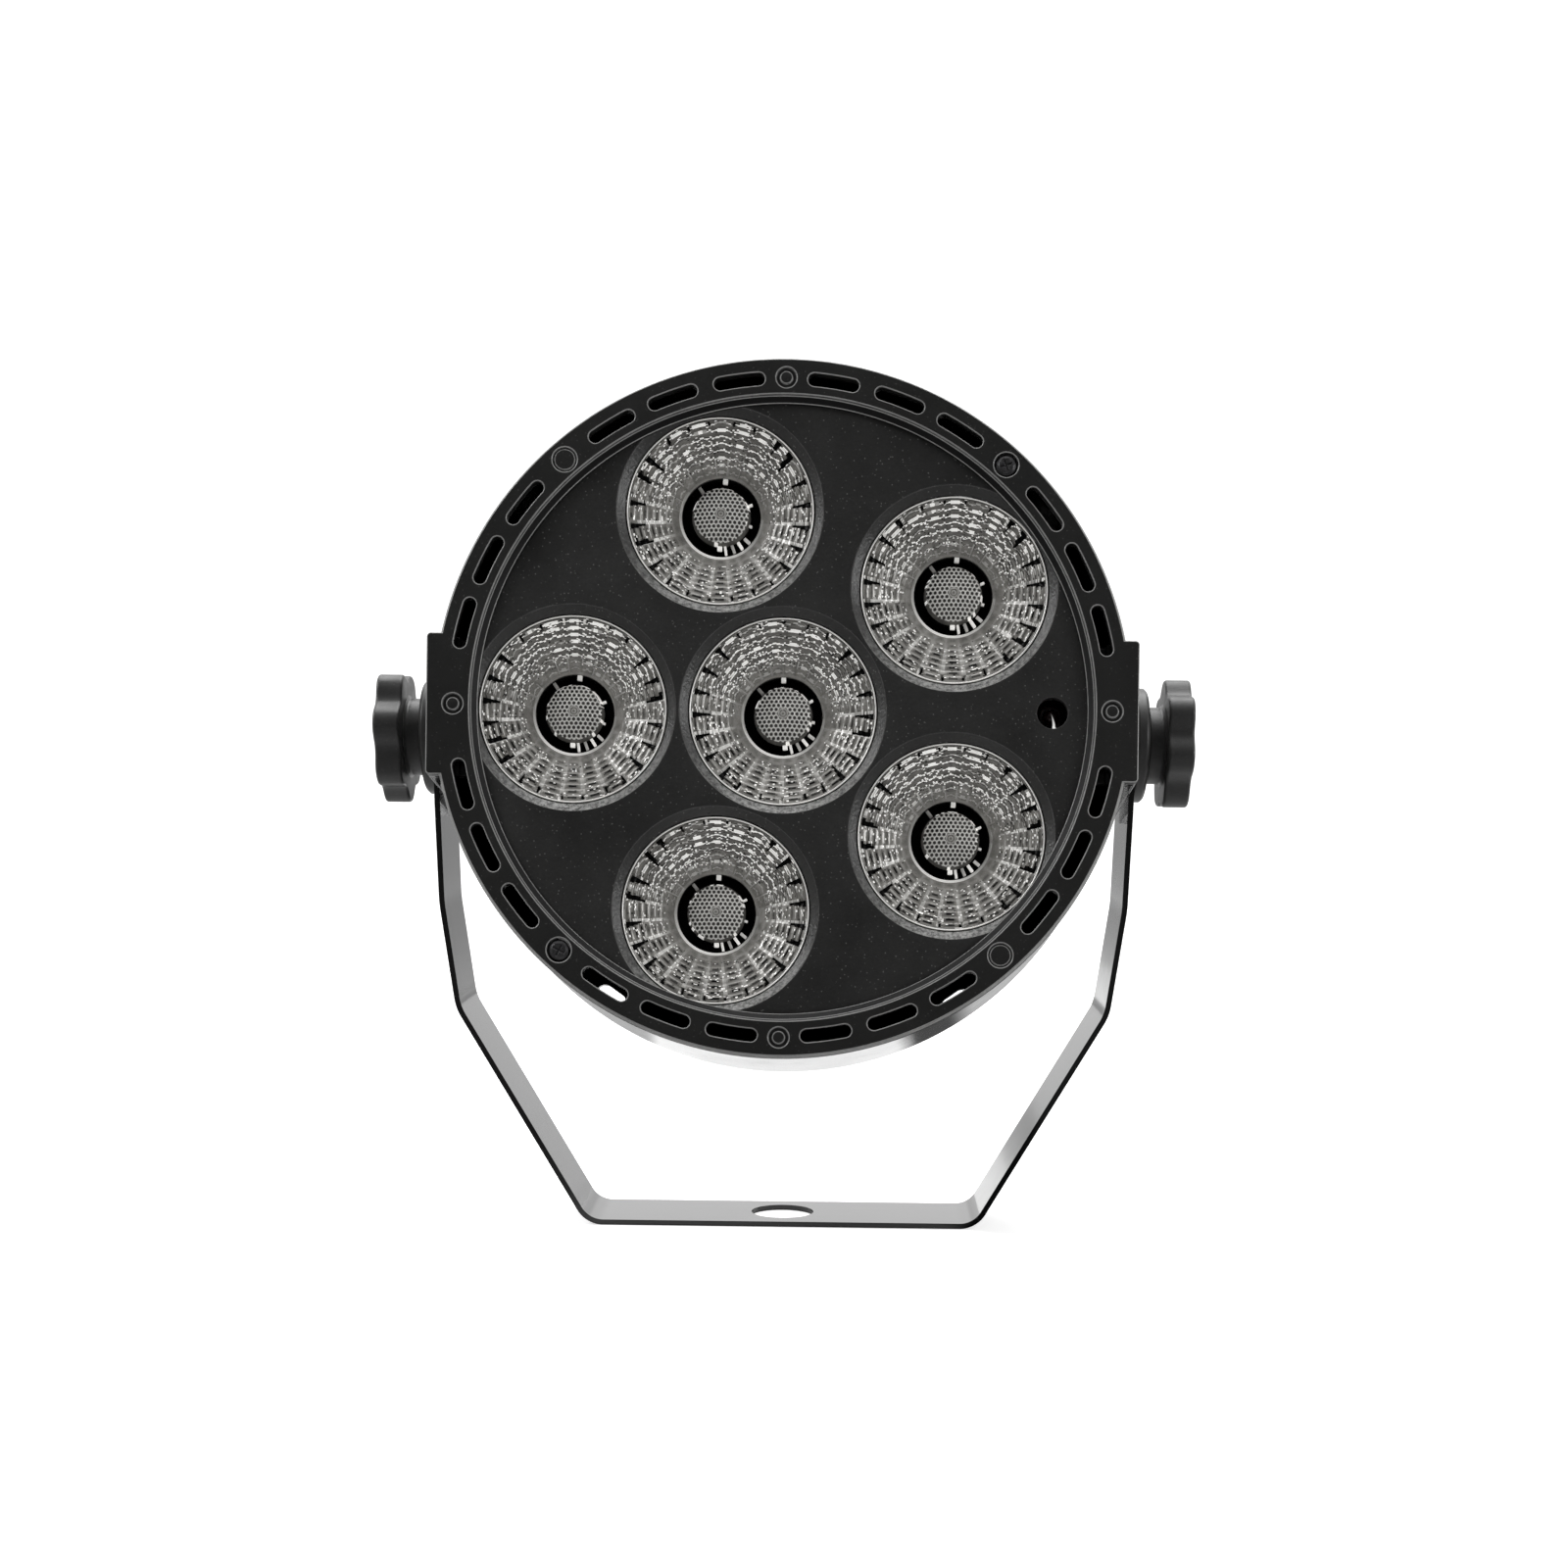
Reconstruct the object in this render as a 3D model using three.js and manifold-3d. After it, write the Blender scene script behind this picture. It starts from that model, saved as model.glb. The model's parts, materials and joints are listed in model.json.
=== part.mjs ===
// LED par light: a shallow round head with six faceted lenses, held in a bent flat-bar yoke.
// Millimetres, +Z up. The head looks towards -Y. The origin is on the floor under the middle of
// the bounding box, level with the underside of the yoke's foot.
//
// Head frame, centred on the tilt axis: x right as seen from the front, y up, z to the front.
// Places along z are given as depths behind the front face, in [front, back] pairs. Cutters
// run past the surfaces they open.
import * as THREE from 'three';
import { mergeVertices } from 'three/addons/utils/BufferGeometryUtils.js';
import Module from 'manifold-3d';

const wasm = await Module();
wasm.setup();

// ---------------------------------------------------------------- shared dimensions
const PIVOT_HEIGHT = 140; // tilt axis above the underside of the foot
const HEAD_TILT = 13.5; // degrees the head looks up from level
const FACE = 39.5; // front face of the head, ahead of the tilt axis

const SCREW_R = 89.4; // pitch radius of the bezel screws and bosses
const BEZEL_SCREW_ANGLES = [48, 228];
const LUG_X = 96.6; // outer faces of the bezel's side lugs
const LUG_HALF_H = 19.2;

const LENS_PITCH = 57.3; // radius of the ring of five lenses about the middle one
const IR_X = 73.4;

const PANEL_SCREW_R = 54.4; // pitch radius of the rear panel screws
const PANEL_SCREW_ANGLES = [30, 150, 210, 330];
const XLR_X = 26;
const XLR_Y = -2;
const INLET_Y = -35;
const DISPLAY_AT = [0, 36];
const BUTTON_Y = 19;
const BUTTON_X = { menu: 21, down: 7, up: -7, enter: -21 };

const BORE_R = 4.25; // clearance bore of the pivot hardware
const SIDES = [-1, 1];

// ---------------------------------------------------------------- finishes
const FINISH = {
  satin: { color: 0x232323, roughness: 0.5 },
  grain: { color: 0x262626, roughness: 0.65 },
  gloss: { color: 0x141414, roughness: 0.16 },
  yoke: { color: 0x101010, roughness: 0.2, metalness: 0.1 },
  knob: { color: 0x2e2e2d, roughness: 0.5 },
  lens: { color: 0xd9d7d0, roughness: 0.08, transparent: true, opacity: 0.6 },
  holder: { color: 0x0c0c0c, roughness: 0.45 },
  board: { color: 0xe8e8e4, roughness: 0.45 },
  circuit: { color: 0x1b4a2c, roughness: 0.5 },
  led: { color: 0xe6d9a0, roughness: 0.3 },
  aluminium: { color: 0xb4b6b8, roughness: 0.4, metalness: 1 },
  steel: { color: 0xb8b8b8, roughness: 0.3, metalness: 1 },
  blackSteel: { color: 0x1c1c1c, roughness: 0.4, metalness: 0.8 },
  brass: { color: 0xb08d4c, roughness: 0.35, metalness: 1 },
  rubber: { color: 0x1a1a1a, roughness: 0.85 },
  zinc: { color: 0x8d8d8d, roughness: 0.35, metalness: 1 },
  glass: { color: 0x120405, roughness: 0.08 },
};

// ---------------------------------------------------------------- geometry to solid and back
// welds the corners, drops collapsed triangles and turns the surface outwards
function solid(geometry) {
  geometry.deleteAttribute('normal');
  geometry.deleteAttribute('uv');
  const welded = mergeVertices(geometry, 1e-4);
  const positions = welded.attributes.position.array;
  const index = welded.index.array;
  const corner = (i) => new THREE.Vector3().fromArray(positions, i * 3);
  const triangles = [];
  let volume = 0;
  for (let n = 0; n < index.length; n += 3) {
    const [i, j, k] = index.slice(n, n + 3);
    if (i === j || j === k || i === k) continue;
    triangles.push([i, j, k]);
    volume += corner(i).dot(corner(j).cross(corner(k)));
  }
  const outward = volume < 0 ? triangles.map(([i, j, k]) => [i, k, j]) : triangles;
  return new wasm.Manifold(new wasm.Mesh({
    numProp: 3,
    vertProperties: new Float32Array(positions),
    triVerts: new Uint32Array(outward.flat()),
  }));
}

function geometryOf(shape) {
  const mesh = shape.getMesh();
  const geometry = new THREE.BufferGeometry();
  geometry.setAttribute('position', new THREE.Float32BufferAttribute(mesh.vertProperties, 3));
  geometry.setIndex(Array.from(mesh.triVerts));
  geometry.computeVertexNormals();
  return geometry;
}

// ---------------------------------------------------------------- shape helpers
const rad = (degrees) => (degrees * Math.PI) / 180;
const Z = (depth) => FACE - depth;
const union = (first, ...others) => others.reduce((whole, part) => whole.add(part), first);
const cut = (first, ...others) => others.reduce((rest, tool) => rest.subtract(tool), first);

// point at a radius and an angle from +x, about a centre
const polar = (radius, angle, [x, y] = [0, 0]) =>
  [x + radius * Math.cos(rad(angle)), y + radius * Math.sin(rad(angle))];

// cylinder along z
function rod(radius, [front, back], segments, [x, y] = [0, 0]) {
  const geometry = new THREE.CylinderGeometry(radius, radius, Z(front) - Z(back), segments);
  geometry.rotateX(Math.PI / 2);
  geometry.translate(x, y, (Z(front) + Z(back)) / 2);
  return solid(geometry);
}

// cylinder along x, on the tilt axis
function rodX(radius, [x0, x1], segments) {
  const geometry = new THREE.CylinderGeometry(radius, radius, x1 - x0, segments);
  geometry.rotateZ(Math.PI / 2);
  geometry.translate((x0 + x1) / 2, 0, 0);
  return solid(geometry);
}

// box centred on [x, y]
function block([width, height], [front, back], [x, y] = [0, 0]) {
  const geometry = new THREE.BoxGeometry(width, height, Z(front) - Z(back));
  geometry.translate(x, y, (Z(front) + Z(back)) / 2);
  return solid(geometry);
}

// box on one side of the head, reaching from innerX out to outerX
const sideBlock = (side, innerX, outerX, halfHeight, depths) =>
  block([outerX - innerX, 2 * halfHeight], depths, [(side * (innerX + outerX)) / 2, 0]);

// body of revolution about z; profile of [radius, depth], closed on itself or on the axis
function turned(profile, segments, [x, y] = [0, 0]) {
  const points = profile.map(([radius, depth]) => new THREE.Vector2(radius, Z(depth)));
  if (profile[0][0] > 0) points.push(points[0].clone());
  const geometry = new THREE.LatheGeometry(points, segments);
  geometry.rotateX(Math.PI / 2);
  geometry.translate(x, y, 0);
  return solid(geometry);
}

function prism(shape, [front, back], curveSegments = 2) {
  const options = { depth: back - front, bevelEnabled: false, curveSegments };
  const geometry = new THREE.ExtrudeGeometry(shape, options);
  geometry.translate(0, 0, Z(back));
  return solid(geometry);
}

function roundedRect([width, height], radius, [centreX, centreY] = [0, 0]) {
  const shape = new THREE.Shape();
  const x0 = centreX - width / 2;
  const y0 = centreY - height / 2;
  const x1 = x0 + width;
  const y1 = y0 + height;
  shape.moveTo(x0 + radius, y0);
  shape.lineTo(x1 - radius, y0);
  shape.absarc(x1 - radius, y0 + radius, radius, -Math.PI / 2, 0);
  shape.lineTo(x1, y1 - radius);
  shape.absarc(x1 - radius, y1 - radius, radius, 0, Math.PI / 2);
  shape.lineTo(x0 + radius, y1);
  shape.absarc(x0 + radius, y1 - radius, radius, Math.PI / 2, Math.PI);
  shape.lineTo(x0, y0 + radius);
  shape.absarc(x0 + radius, y0 + radius, radius, Math.PI, 1.5 * Math.PI);
  return shape;
}

// slot with round ends, lying along x
function stadium(length, width) {
  const shape = new THREE.Shape();
  const radius = width / 2;
  const endX = length / 2 - radius;
  shape.moveTo(-endX, -radius);
  shape.lineTo(endX, -radius);
  shape.absarc(endX, 0, radius, -Math.PI / 2, Math.PI / 2);
  shape.lineTo(-endX, radius);
  shape.absarc(-endX, 0, radius, Math.PI / 2, 1.5 * Math.PI);
  return shape;
}

// screw along z with a cross recess; each part is [size, depths]
function screw(at, { head: [headR, headDepths], shank: [shankR, shankDepths], recess }) {
  const [length, recessDepths] = recess;
  return cut(
    union(rod(headR, headDepths, 14, at), rod(shankR, shankDepths, 8, at)),
    block([length, 0.6], recessDepths, at),
    block([0.6, length], recessDepths, at),
  );
}

// ---------------------------------------------------------------- yoke: one bent flat bar
const BAR_T = 1.6;
const BAR_W = 30;
const BAR_CUT_X = [-111, 111]; // reaches through both arms
const PIVOT_HOLE_R = 4.4;
const FOOT_HOLE_R = 9.3;
// right half of the centre line: [x, height from the tilt axis, bend radius]
const YOKE_PATH = [
  [98.4, 15, 0],
  [98.4, -18, 40],
  [97.9, -46, 40],
  [94.0, -76, 14],
  [57.4, -(PIVOT_HEIGHT - BAR_T / 2), 8],
];

const direction = (from, to) => to.clone().sub(from).normalize();

// arc that rounds a corner; the path turns clockwise at every bend
function bend(before, corner, after, radius) {
  const toBefore = direction(corner, before);
  const toAfter = direction(corner, after);
  const halfAngle = Math.acos(toBefore.dot(toAfter)) / 2;
  const bisector = toBefore.clone().add(toAfter).normalize();
  const centre = corner.clone().addScaledVector(bisector, radius / Math.sin(halfAngle));
  const start = corner.clone().addScaledVector(toBefore, radius / Math.tan(halfAngle));
  const startAngle = Math.atan2(start.y - centre.y, start.x - centre.x);
  const sweep = 2 * halfAngle - Math.PI;
  const steps = Math.ceil(-sweep / rad(14));
  return Array.from({ length: steps + 1 }, (_, i) => {
    const angle = startAngle + (sweep * i) / steps;
    const x = centre.x + radius * Math.cos(angle);
    return new THREE.Vector2(x, centre.y + radius * Math.sin(angle));
  });
}

// line moved sideways, mitred at its corners
function offsetLine(line, distance) {
  return line.map((point, i) => {
    const into = i > 0 ? direction(line[i - 1], point) : direction(point, line[1]);
    const out = i < line.length - 1 ? direction(point, line[i + 1]) : into;
    const along = into.clone().add(out).normalize();
    const reach = distance / along.dot(out);
    return new THREE.Vector2(point.x - along.y * reach, point.y + along.x * reach);
  });
}

function barOutline() {
  const mirrored = YOKE_PATH.map(([x, y, radius]) => [-x, y, radius]).reverse();
  const path = [...YOKE_PATH, ...mirrored];
  const corners = path.map(([x, y]) => new THREE.Vector2(x, y));
  const line = corners.flatMap((corner, i) => {
    if (i === 0 || i === corners.length - 1) return [corner];
    return bend(corners[i - 1], corner, corners[i + 1], path[i][2]);
  });
  return [...offsetLine(line, BAR_T / 2), ...offsetLine(line, -BAR_T / 2).reverse()];
}

// x across, y up from the tilt axis, z along the bar's width
function yokeBracket() {
  const outline = new THREE.Shape(barOutline());
  const bar = new THREE.ExtrudeGeometry(outline, { depth: BAR_W, bevelEnabled: false });
  bar.translate(0, 0, -BAR_W / 2);
  const armTops = new THREE.BoxGeometry(220, 20, BAR_W + 2);
  armTops.translate(0, 10, 0);
  const footHole = new THREE.CylinderGeometry(FOOT_HOLE_R, FOOT_HOLE_R, 10, 40);
  footHole.translate(0, -PIVOT_HEIGHT, 0);
  return cut(
    solid(bar),
    cut(solid(armTops), rodX(BAR_W / 2, BAR_CUT_X, 32)), // rounds the arm ends about the pivot
    rodX(PIVOT_HOLE_R, BAR_CUT_X, 16),
    solid(footHole),
  );
}

// ---------------------------------------------------------------- front bezel
const BEZEL_T = 3.2;
const SLOT_R = 89.2; // pitch radius of the air slots
const SLOT_ANGLES = [8.25, 20.2, 32.0, 52.2, 64.1, 75.8]; // from the vertical, mirrored four ways
// [radius, depth]
const INNER_LIP = [[84.3, 0], [82.8, 1.4], [82.8, 2.3], [87.3, 2.3], [87.3, 0]];
const OUTER_EDGE = [[93.3, 0], [93.8, 0], [95, 1.5], [95, BEZEL_T], [93.3, BEZEL_T]];
const BEZEL_SCREW = { head: [2.9, [0.35, 1.2]], shank: [1.4, [1.0, 16]], recess: [3.4, [0, 0.8]] };

// flat ring between the lip and the outer edge, with its air slots
function slottedRing() {
  const circle = (radius) =>
    Array.from({ length: 40 }, (_, i) => new THREE.Vector2(...polar(radius, i * 9)));
  const ring = new THREE.Shape(circle(93.5));
  ring.holes.push(new THREE.Path(circle(87.1).reverse()));
  const slot = stadium(14, 3.5).getPoints(3);
  const centre = new THREE.Vector2();
  for (const a of SLOT_ANGLES) {
    for (const turn of [180 - a, 180 + a, -a, a]) {
      const points = slot.map(({ x, y }) =>
        new THREE.Vector2(x, y - SLOT_R).rotateAround(centre, rad(turn)));
      ring.holes.push(new THREE.Path(points));
    }
  }
  return prism(ring, [0, BEZEL_T]);
}

function frontBezel() {
  const body = union(
    slottedRing(),
    turned(INNER_LIP, 40),
    turned(OUTER_EDGE, 40),
    ...SIDES.map((side) => sideBlock(side, 91, LUG_X, LUG_HALF_H, [0, BEZEL_T])),
  );
  // shallow ring grooves on the axes, and two counterbored screw holes
  const grooves = [0, 90, 180, 270].map((angle) => {
    const at = polar(SCREW_R, angle);
    return cut(rod(2.7, [-1, 0.5], 10, at), rod(1.7, [-2, 1], 10, at));
  });
  const screwHoles = BEZEL_SCREW_ANGLES.flatMap((angle) => {
    const at = polar(SCREW_R, angle);
    return [rod(3.3, [-1, 1.5], 14, at), rod(1.75, [-1, 4], 8, at)];
  });
  return cut(body, ...grooves, ...screwHoles);
}

// ---------------------------------------------------------------- lens panel and lenses
const PANEL_R = 86.7;
const PANEL_FRONT = 2.6;
const WELL_TOP_R = 28.2; // lens well at the panel's front
const WELL_R = 25.9; // lens well at the foot of its cone
const WELL_CONE_END = 4.6;
const LENS_R = 25.6;
const LENS_CENTRES = [[0, 0], ...[0, 1, 2, 3, 4].map((i) => polar(LENS_PITCH, 180 - 72 * i))];
// [radius, depth]
const LENS_PROFILE = [
  [0, 6.3], [7.6, 8.4], [7.8, 13.3], [10.8, 13.3], [11.0, 10.2],
  [24.8, 5.2], [25.1, 4.5], [LENS_R, 4.5], [LENS_R, 6.5], [24.4, 6.9],
  [20, 12.6], [8.4, 20.8], [4.2, 20.8], [4.0, 15.8], [0, 15.8],
];
const HOLDER_PROFILE = [
  [25.4, 7.3], [21.2, 13.2], [9.2, 21.3], [6.4, 21.3],
  [6.4, 22.0], [12.5, 22.0], [22.8, 14.2], [26.6, 7.3],
];
const LED_DOME = [[0, 18.9], [1.9, 19.5], [2.7, 21.4], [0, 21.4]];

function lensPanel() {
  // the cone carries on at the same slope past the panel's front
  const over = 0.5;
  const flare = ((WELL_TOP_R - WELL_R) / (WELL_CONE_END - PANEL_FRONT)) * over;
  const top = PANEL_FRONT - over;
  const well = [
    [0, top], [WELL_TOP_R + flare, top], [WELL_R, WELL_CONE_END], [WELL_R, 6], [0, 6],
  ];
  return cut(
    rod(PANEL_R, [PANEL_FRONT, 5], 40),
    ...LENS_CENTRES.map((at) => turned(well, 24, at)),
    rod(4.25, [0, 9], 24, [IR_X, 0]),
  );
}

const led = (at) => union(block([7, 7], [21.15, 22], at), turned(LED_DOME, 10, at));

// ---------------------------------------------------------------- inside the head
const SINK_R = 74;
const FIN_PITCH = 12.4;
const ROTOR_HUB = [38.3, 45.4];

function ledBoard() {
  const holes = [60, 172, 300].map((angle) => rod(1.7, [21, 25], 10, polar(34, angle)));
  return cut(rod(77.5, [22.3, 23.9], 36), ...holes);
}

// receiver on its own small board, with a post behind it
function irReceiver() {
  const at = [IR_X, 0];
  return union(
    block([8.8, 12], [13.2, 14.4], at),
    block([5.6, 6.8], [8.2, 13.3], at),
    rod(1.9, [6.4, 8.3], 16, at),
    rod(2.0, [14.3, 22.0], 12, [IR_X - 0.5, 0]),
  );
}

// round plate with upright fins that stop short of its edge
function heatSink() {
  let sink = rod(SINK_R, [24.2, 27.7], 36);
  for (let i = -5; i <= 5; i++) {
    const x = i * FIN_PITCH;
    const halfLength = Math.sqrt((SINK_R - 3) ** 2 - (Math.abs(x) + 1) ** 2);
    sink = union(sink, block([1.8, 2 * halfLength], [27, 37], [x, 0]));
  }
  return sink;
}

function fanFrame() {
  // opening around the hub, crossed by four spokes
  const grille = cut(
    rod(23.5, [45, 49], 24),
    rod(10.5, [44, 50], 12),
    block([60, 3.2], [44, 50]),
    block([3.2, 60], [44, 50]),
  );
  const screwHoles = SIDES.flatMap((sideX) =>
    SIDES.map((sideY) => rod(2.1, [36, 49], 6, [sideX * 21.2, sideY * 21.2])));
  const frame = prism(roundedRect([50, 50], 3), [37.6, 47.6]);
  return cut(frame, rod(23.5, [36, 46.1], 24), grille, ...screwHoles);
}

function fanRotor() {
  const blades = 7;
  let rotor = rod(10, ROTOR_HUB, 24);
  for (let i = 0; i < blades; i++) {
    const blade = new THREE.BoxGeometry(14.5, 7.4, 1.1);
    blade.rotateX(rad(32));
    blade.translate(15.6, 0, Z((ROTOR_HUB[0] + ROTOR_HUB[1]) / 2));
    blade.rotateZ((i * 2 * Math.PI) / blades);
    rotor = union(rotor, solid(blade));
  }
  return rotor;
}

// ---------------------------------------------------------------- rear housing
const HOUSING_R = 94.6;
const HOUSING_LUG_X = LUG_X - 0.2;
const HOUSING_LUG_HALF_H = LUG_HALF_H - 0.2;
const VENT_R = 88.85; // pitch radius of the vents
const VENT_ANGLES = [44.4, 54.7, 125.3, 135.6, 224.4, 234.7, 305.3, 315.6];
// [radius, depth], down the outside and back up the inside
const HOUSING_PROFILE = [
  [HOUSING_R, 3.5], [HOUSING_R, 49], [93.6, 53.0], [90.2, 57.4], [84, 62],
  [63.5, 72.4], [57.2, 72.4], [57.2, 70.3], [52, 70.3], [52, 68],
  [64.6, 68], [82.9, 60.1], [88.6, 55.9], [92.4, 48.7], [92.4, 3.5],
];

function rearHousing() {
  const lug = (side, innerX, depths) =>
    sideBlock(side, innerX, HOUSING_LUG_X, HOUSING_LUG_HALF_H, depths);
  const bosses = [48, 132, 228, 312].map((angle) => polar(SCREW_R, angle));
  const body = union(
    turned(HOUSING_PROFILE, 40),
    ...SIDES.flatMap((side) => [lug(side, 84.5, [5.3, 58]), lug(side, 88, [3.5, 5.4])]),
    ...bosses.map((at) => rod(3.6, [5.3, 30], 8, at)),
  );
  // pivot bore with a shallow seat for the friction washer
  const pivot = [rodX(5.3, [86, 99], 16), rodX(12.4, [95.6, 99], 24)];
  // air vent through the rear shoulder, placed at the bottom and turned to each angle
  const vent = prism(roundedRect([9, 5.7], 2.2), [50, 76], 1).translate([0, -VENT_R, 0]);
  return cut(
    body,
    ...bosses.map((at) => rod(1.75, [4, 18], 6, at)),
    ...pivot,
    ...pivot.map((tool) => tool.mirror([1, 0, 0])),
    ...VENT_ANGLES.map((angle) => vent.rotate([0, 0, angle + 90])),
    ...PANEL_SCREW_ANGLES.map((angle) => rod(1.75, [66, 72], 12, polar(PANEL_SCREW_R, angle))),
  );
}

// ---------------------------------------------------------------- rear panel and its fittings
const THROUGH_PANEL = [70, 73];
const DRAWER_Y = INLET_Y - 9.4;
const CONTACT_ANGLES = [90, 210, 330];
const PANEL_SCREW = { head: [2.6, [72.5, 74]], shank: [1.4, [60, 72.7]], recess: [3.2, [73.2, 75]] };
// [radius, depth]
const BUTTON_PROFILE = [[0, 68.6], [4.6, 68.6], [4.6, 69.6], [3.5, 69.6], [3.5, 74.1], [0, 74.1]];

function rearPanel() {
  const hole = (radius, segments, at) => rod(radius, THROUGH_PANEL, segments, at);
  return cut(
    rod(56.9, [70.6, 72.2], 40),
    ...SIDES.map((side) => hole(12.1, 20, [side * XLR_X, XLR_Y])),
    block([27.8, 29.2], THROUGH_PANEL, [0, INLET_Y]),
    block([34, 16], THROUGH_PANEL, DISPLAY_AT),
    ...Object.values(BUTTON_X).map((x) => hole(3.9, 12, [x, BUTTON_Y])),
    ...PANEL_SCREW_ANGLES.map((angle) => hole(1.8, 8, polar(PANEL_SCREW_R, angle))),
  );
}

function controlBoard() {
  const holes = SIDES.map((side) => rod(1.6, [65, 69], 10, [side * 37, 16]));
  return cut(block([80, 34], [66, 67.6], [0, 30]), ...holes);
}

const display = () => union(
  block([33.4, 15.4], [67.9, 72.6], DISPLAY_AT),
  block([30.4, 12.4], [72.5, 73.0], DISPLAY_AT),
);

// board on four posts, with blocks and cylinders for its components
function powerSupplyBoard() {
  const y = -50;
  const posts = SIDES.flatMap((sideX) =>
    SIDES.map((sideY) => rod(2.2, [37.3, 41.1], 8, [sideX * 44, y + sideY * 14])));
  return union(
    block([96, 36], [41, 42.6], [0, y]),
    block([26, 24], [42.5, 49], [-1, y]),
    rod(6, [42.5, 49], 14, [-32, -52]),
    rod(4.5, [42.5, 48], 12, [28, -58]),
    rod(4.5, [42.5, 48], 12, [28, -44]),
    block([8, 18], [42.5, 48], [42, -51]),
    ...posts,
  );
}

const flange = (size, at) => prism(roundedRect(size, 2.5, at), [72.5, 74.5]);
const connectorBody = (at) => union(flange([26, 31], at), rod(11.6, [52, 72.6], 18, at));
const contacts = (radius, depths, at) =>
  CONTACT_ANGLES.map((angle) => rod(radius, depths, 6, polar(3.9, angle, at)));

// signal output, with a slot for the latch above its contacts
function signalSocket() {
  const at = [-XLR_X, XLR_Y];
  return cut(
    connectorBody(at),
    cut(rod(8.8, [64, 75], 18, at), rod(7.4, [63, 76], 14, at)),
    ...contacts(1.35, [62, 76], at),
    block([7.2, 2.62], [64, 76], [-XLR_X, XLR_Y + 10.31]),
  );
}

const socketLatch = () => union(
  block([6.4, 1.9], [66.5, 76], [-XLR_X, XLR_Y + 10.25]),
  block([4.8, 0.9], [75.9, 76.2], [-XLR_X, XLR_Y + 9.75]),
);

// signal input: three pins in a shell
function signalPlug() {
  const at = [XLR_X, XLR_Y];
  const shell = cut(connectorBody(at), rod(9.3, [60, 75], 18, at));
  return union(shell, ...contacts(1.15, [59, 72.5], at));
}

// socket with three blades, above an opening for the fuse drawer
function mainsInlet() {
  const at = [0, INLET_Y];
  const body = cut(
    union(flange([40, 33], at), block([27.2, 28.6], [52, 72.6], at)),
    block([24.4, 16.6], [57, 76], [0, INLET_Y + 4.5]),
    block([23.8, 6.4], [54, 76], [0, DRAWER_Y]),
  );
  const blades = [[-7, 2.5], [7, 2.5], [0, 6.5]].map(([x, y]) =>
    block([2, 4], [56, 71.5], [x, INLET_Y + y]));
  return union(body, ...blades);
}

// drawer open along its upper side, with a notch in its lower edge
const fuseDrawer = () => cut(
  block([23.2, 5.8], [55.5, 75.4], [0, DRAWER_Y]),
  block([16, 3.6], [58, 70], [0, DRAWER_Y + 2]),
  block([8, 1.8], [73.4, 74.6], [0, DRAWER_Y - 2.7]),
);

// ---------------------------------------------------------------- pivot hardware, right side
const KNOB_R = 18.4;
const KNOB_LOBES = 7;
const KNOB_X = { stem: 103.4, grip: 108.2, end: 115.6 }; // where stem and grip start, and the end

const bored = (body, boreX) => cut(body, rodX(BORE_R, boreX, 16));

function knob() {
  const count = KNOB_LOBES * 5;
  const outline = Array.from({ length: count }, (_, i) => {
    const angle = (i / count) * 2 * Math.PI;
    const dip = 2.6 * Math.pow((1 - Math.cos(KNOB_LOBES * angle)) / 2, 1.3);
    const radius = KNOB_R - dip;
    return new THREE.Vector2(radius * Math.cos(angle), radius * Math.sin(angle));
  });
  const options = { depth: KNOB_X.end - KNOB_X.grip, bevelEnabled: false };
  const grip = new THREE.ExtrudeGeometry(new THREE.Shape(outline), options);
  grip.rotateY(Math.PI / 2);
  grip.translate(KNOB_X.grip, 0, 0);
  return cut(
    union(solid(grip), rodX(10.75, [KNOB_X.stem, KNOB_X.grip + 0.5], 22)),
    rodX(4.2, [100, 111.8], 16), // blind bore for the stud
    rodX(11, [KNOB_X.end - 0.8, 120], 24), // round recess in the end face
  );
}

const PIVOT_PIECES = [
  ['thread_insert', bored(rodX(5.0, [86.3, 95.3], 16), [81, 97]), FINISH.brass],
  ['friction_washer', bored(rodX(12.0, [95.9, 97.2], 24), [95, 98]), FINISH.rubber],
  ['clamp_washer', bored(rodX(16, [99.5, 103.1], 32), [99, 104]), FINISH.knob],
  ['knob', knob(), FINISH.knob],
  ['clamp_stud', rodX(3.9, [86.6, 111.5], 16), FINISH.steel],
];

// ---------------------------------------------------------------- assembly
const fixture = new THREE.Group();
const head = new THREE.Group();
head.position.set(0, 0, PIVOT_HEIGHT);
head.rotation.x = rad(90 - HEAD_TILT);
fixture.add(head);

function place(name, shape, finish, group = head) {
  const mesh = new THREE.Mesh(geometryOf(shape), new THREE.MeshStandardMaterial(finish));
  mesh.name = name;
  group.add(mesh);
  return mesh;
}

const yoke = place('yoke_bracket', yokeBracket(), FINISH.yoke, fixture);
yoke.rotation.x = Math.PI / 2;
yoke.position.z = PIVOT_HEIGHT;

place('front_bezel', frontBezel(), FINISH.satin);
['upper', 'lower'].forEach((level, i) => {
  const at = polar(SCREW_R, BEZEL_SCREW_ANGLES[i]);
  place(`bezel_screw_${level}`, screw(at, BEZEL_SCREW), FINISH.blackSteel);
});

place('lens_panel', lensPanel(), FINISH.grain);
LENS_CENTRES.forEach((at, i) => {
  place(`lens_${i + 1}`, turned(LENS_PROFILE, 16, at), FINISH.lens);
  place(`lens_holder_${i + 1}`, turned(HOLDER_PROFILE, 14, at), FINISH.holder);
  place(`led_${i + 1}`, led(at), FINISH.led);
});

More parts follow.
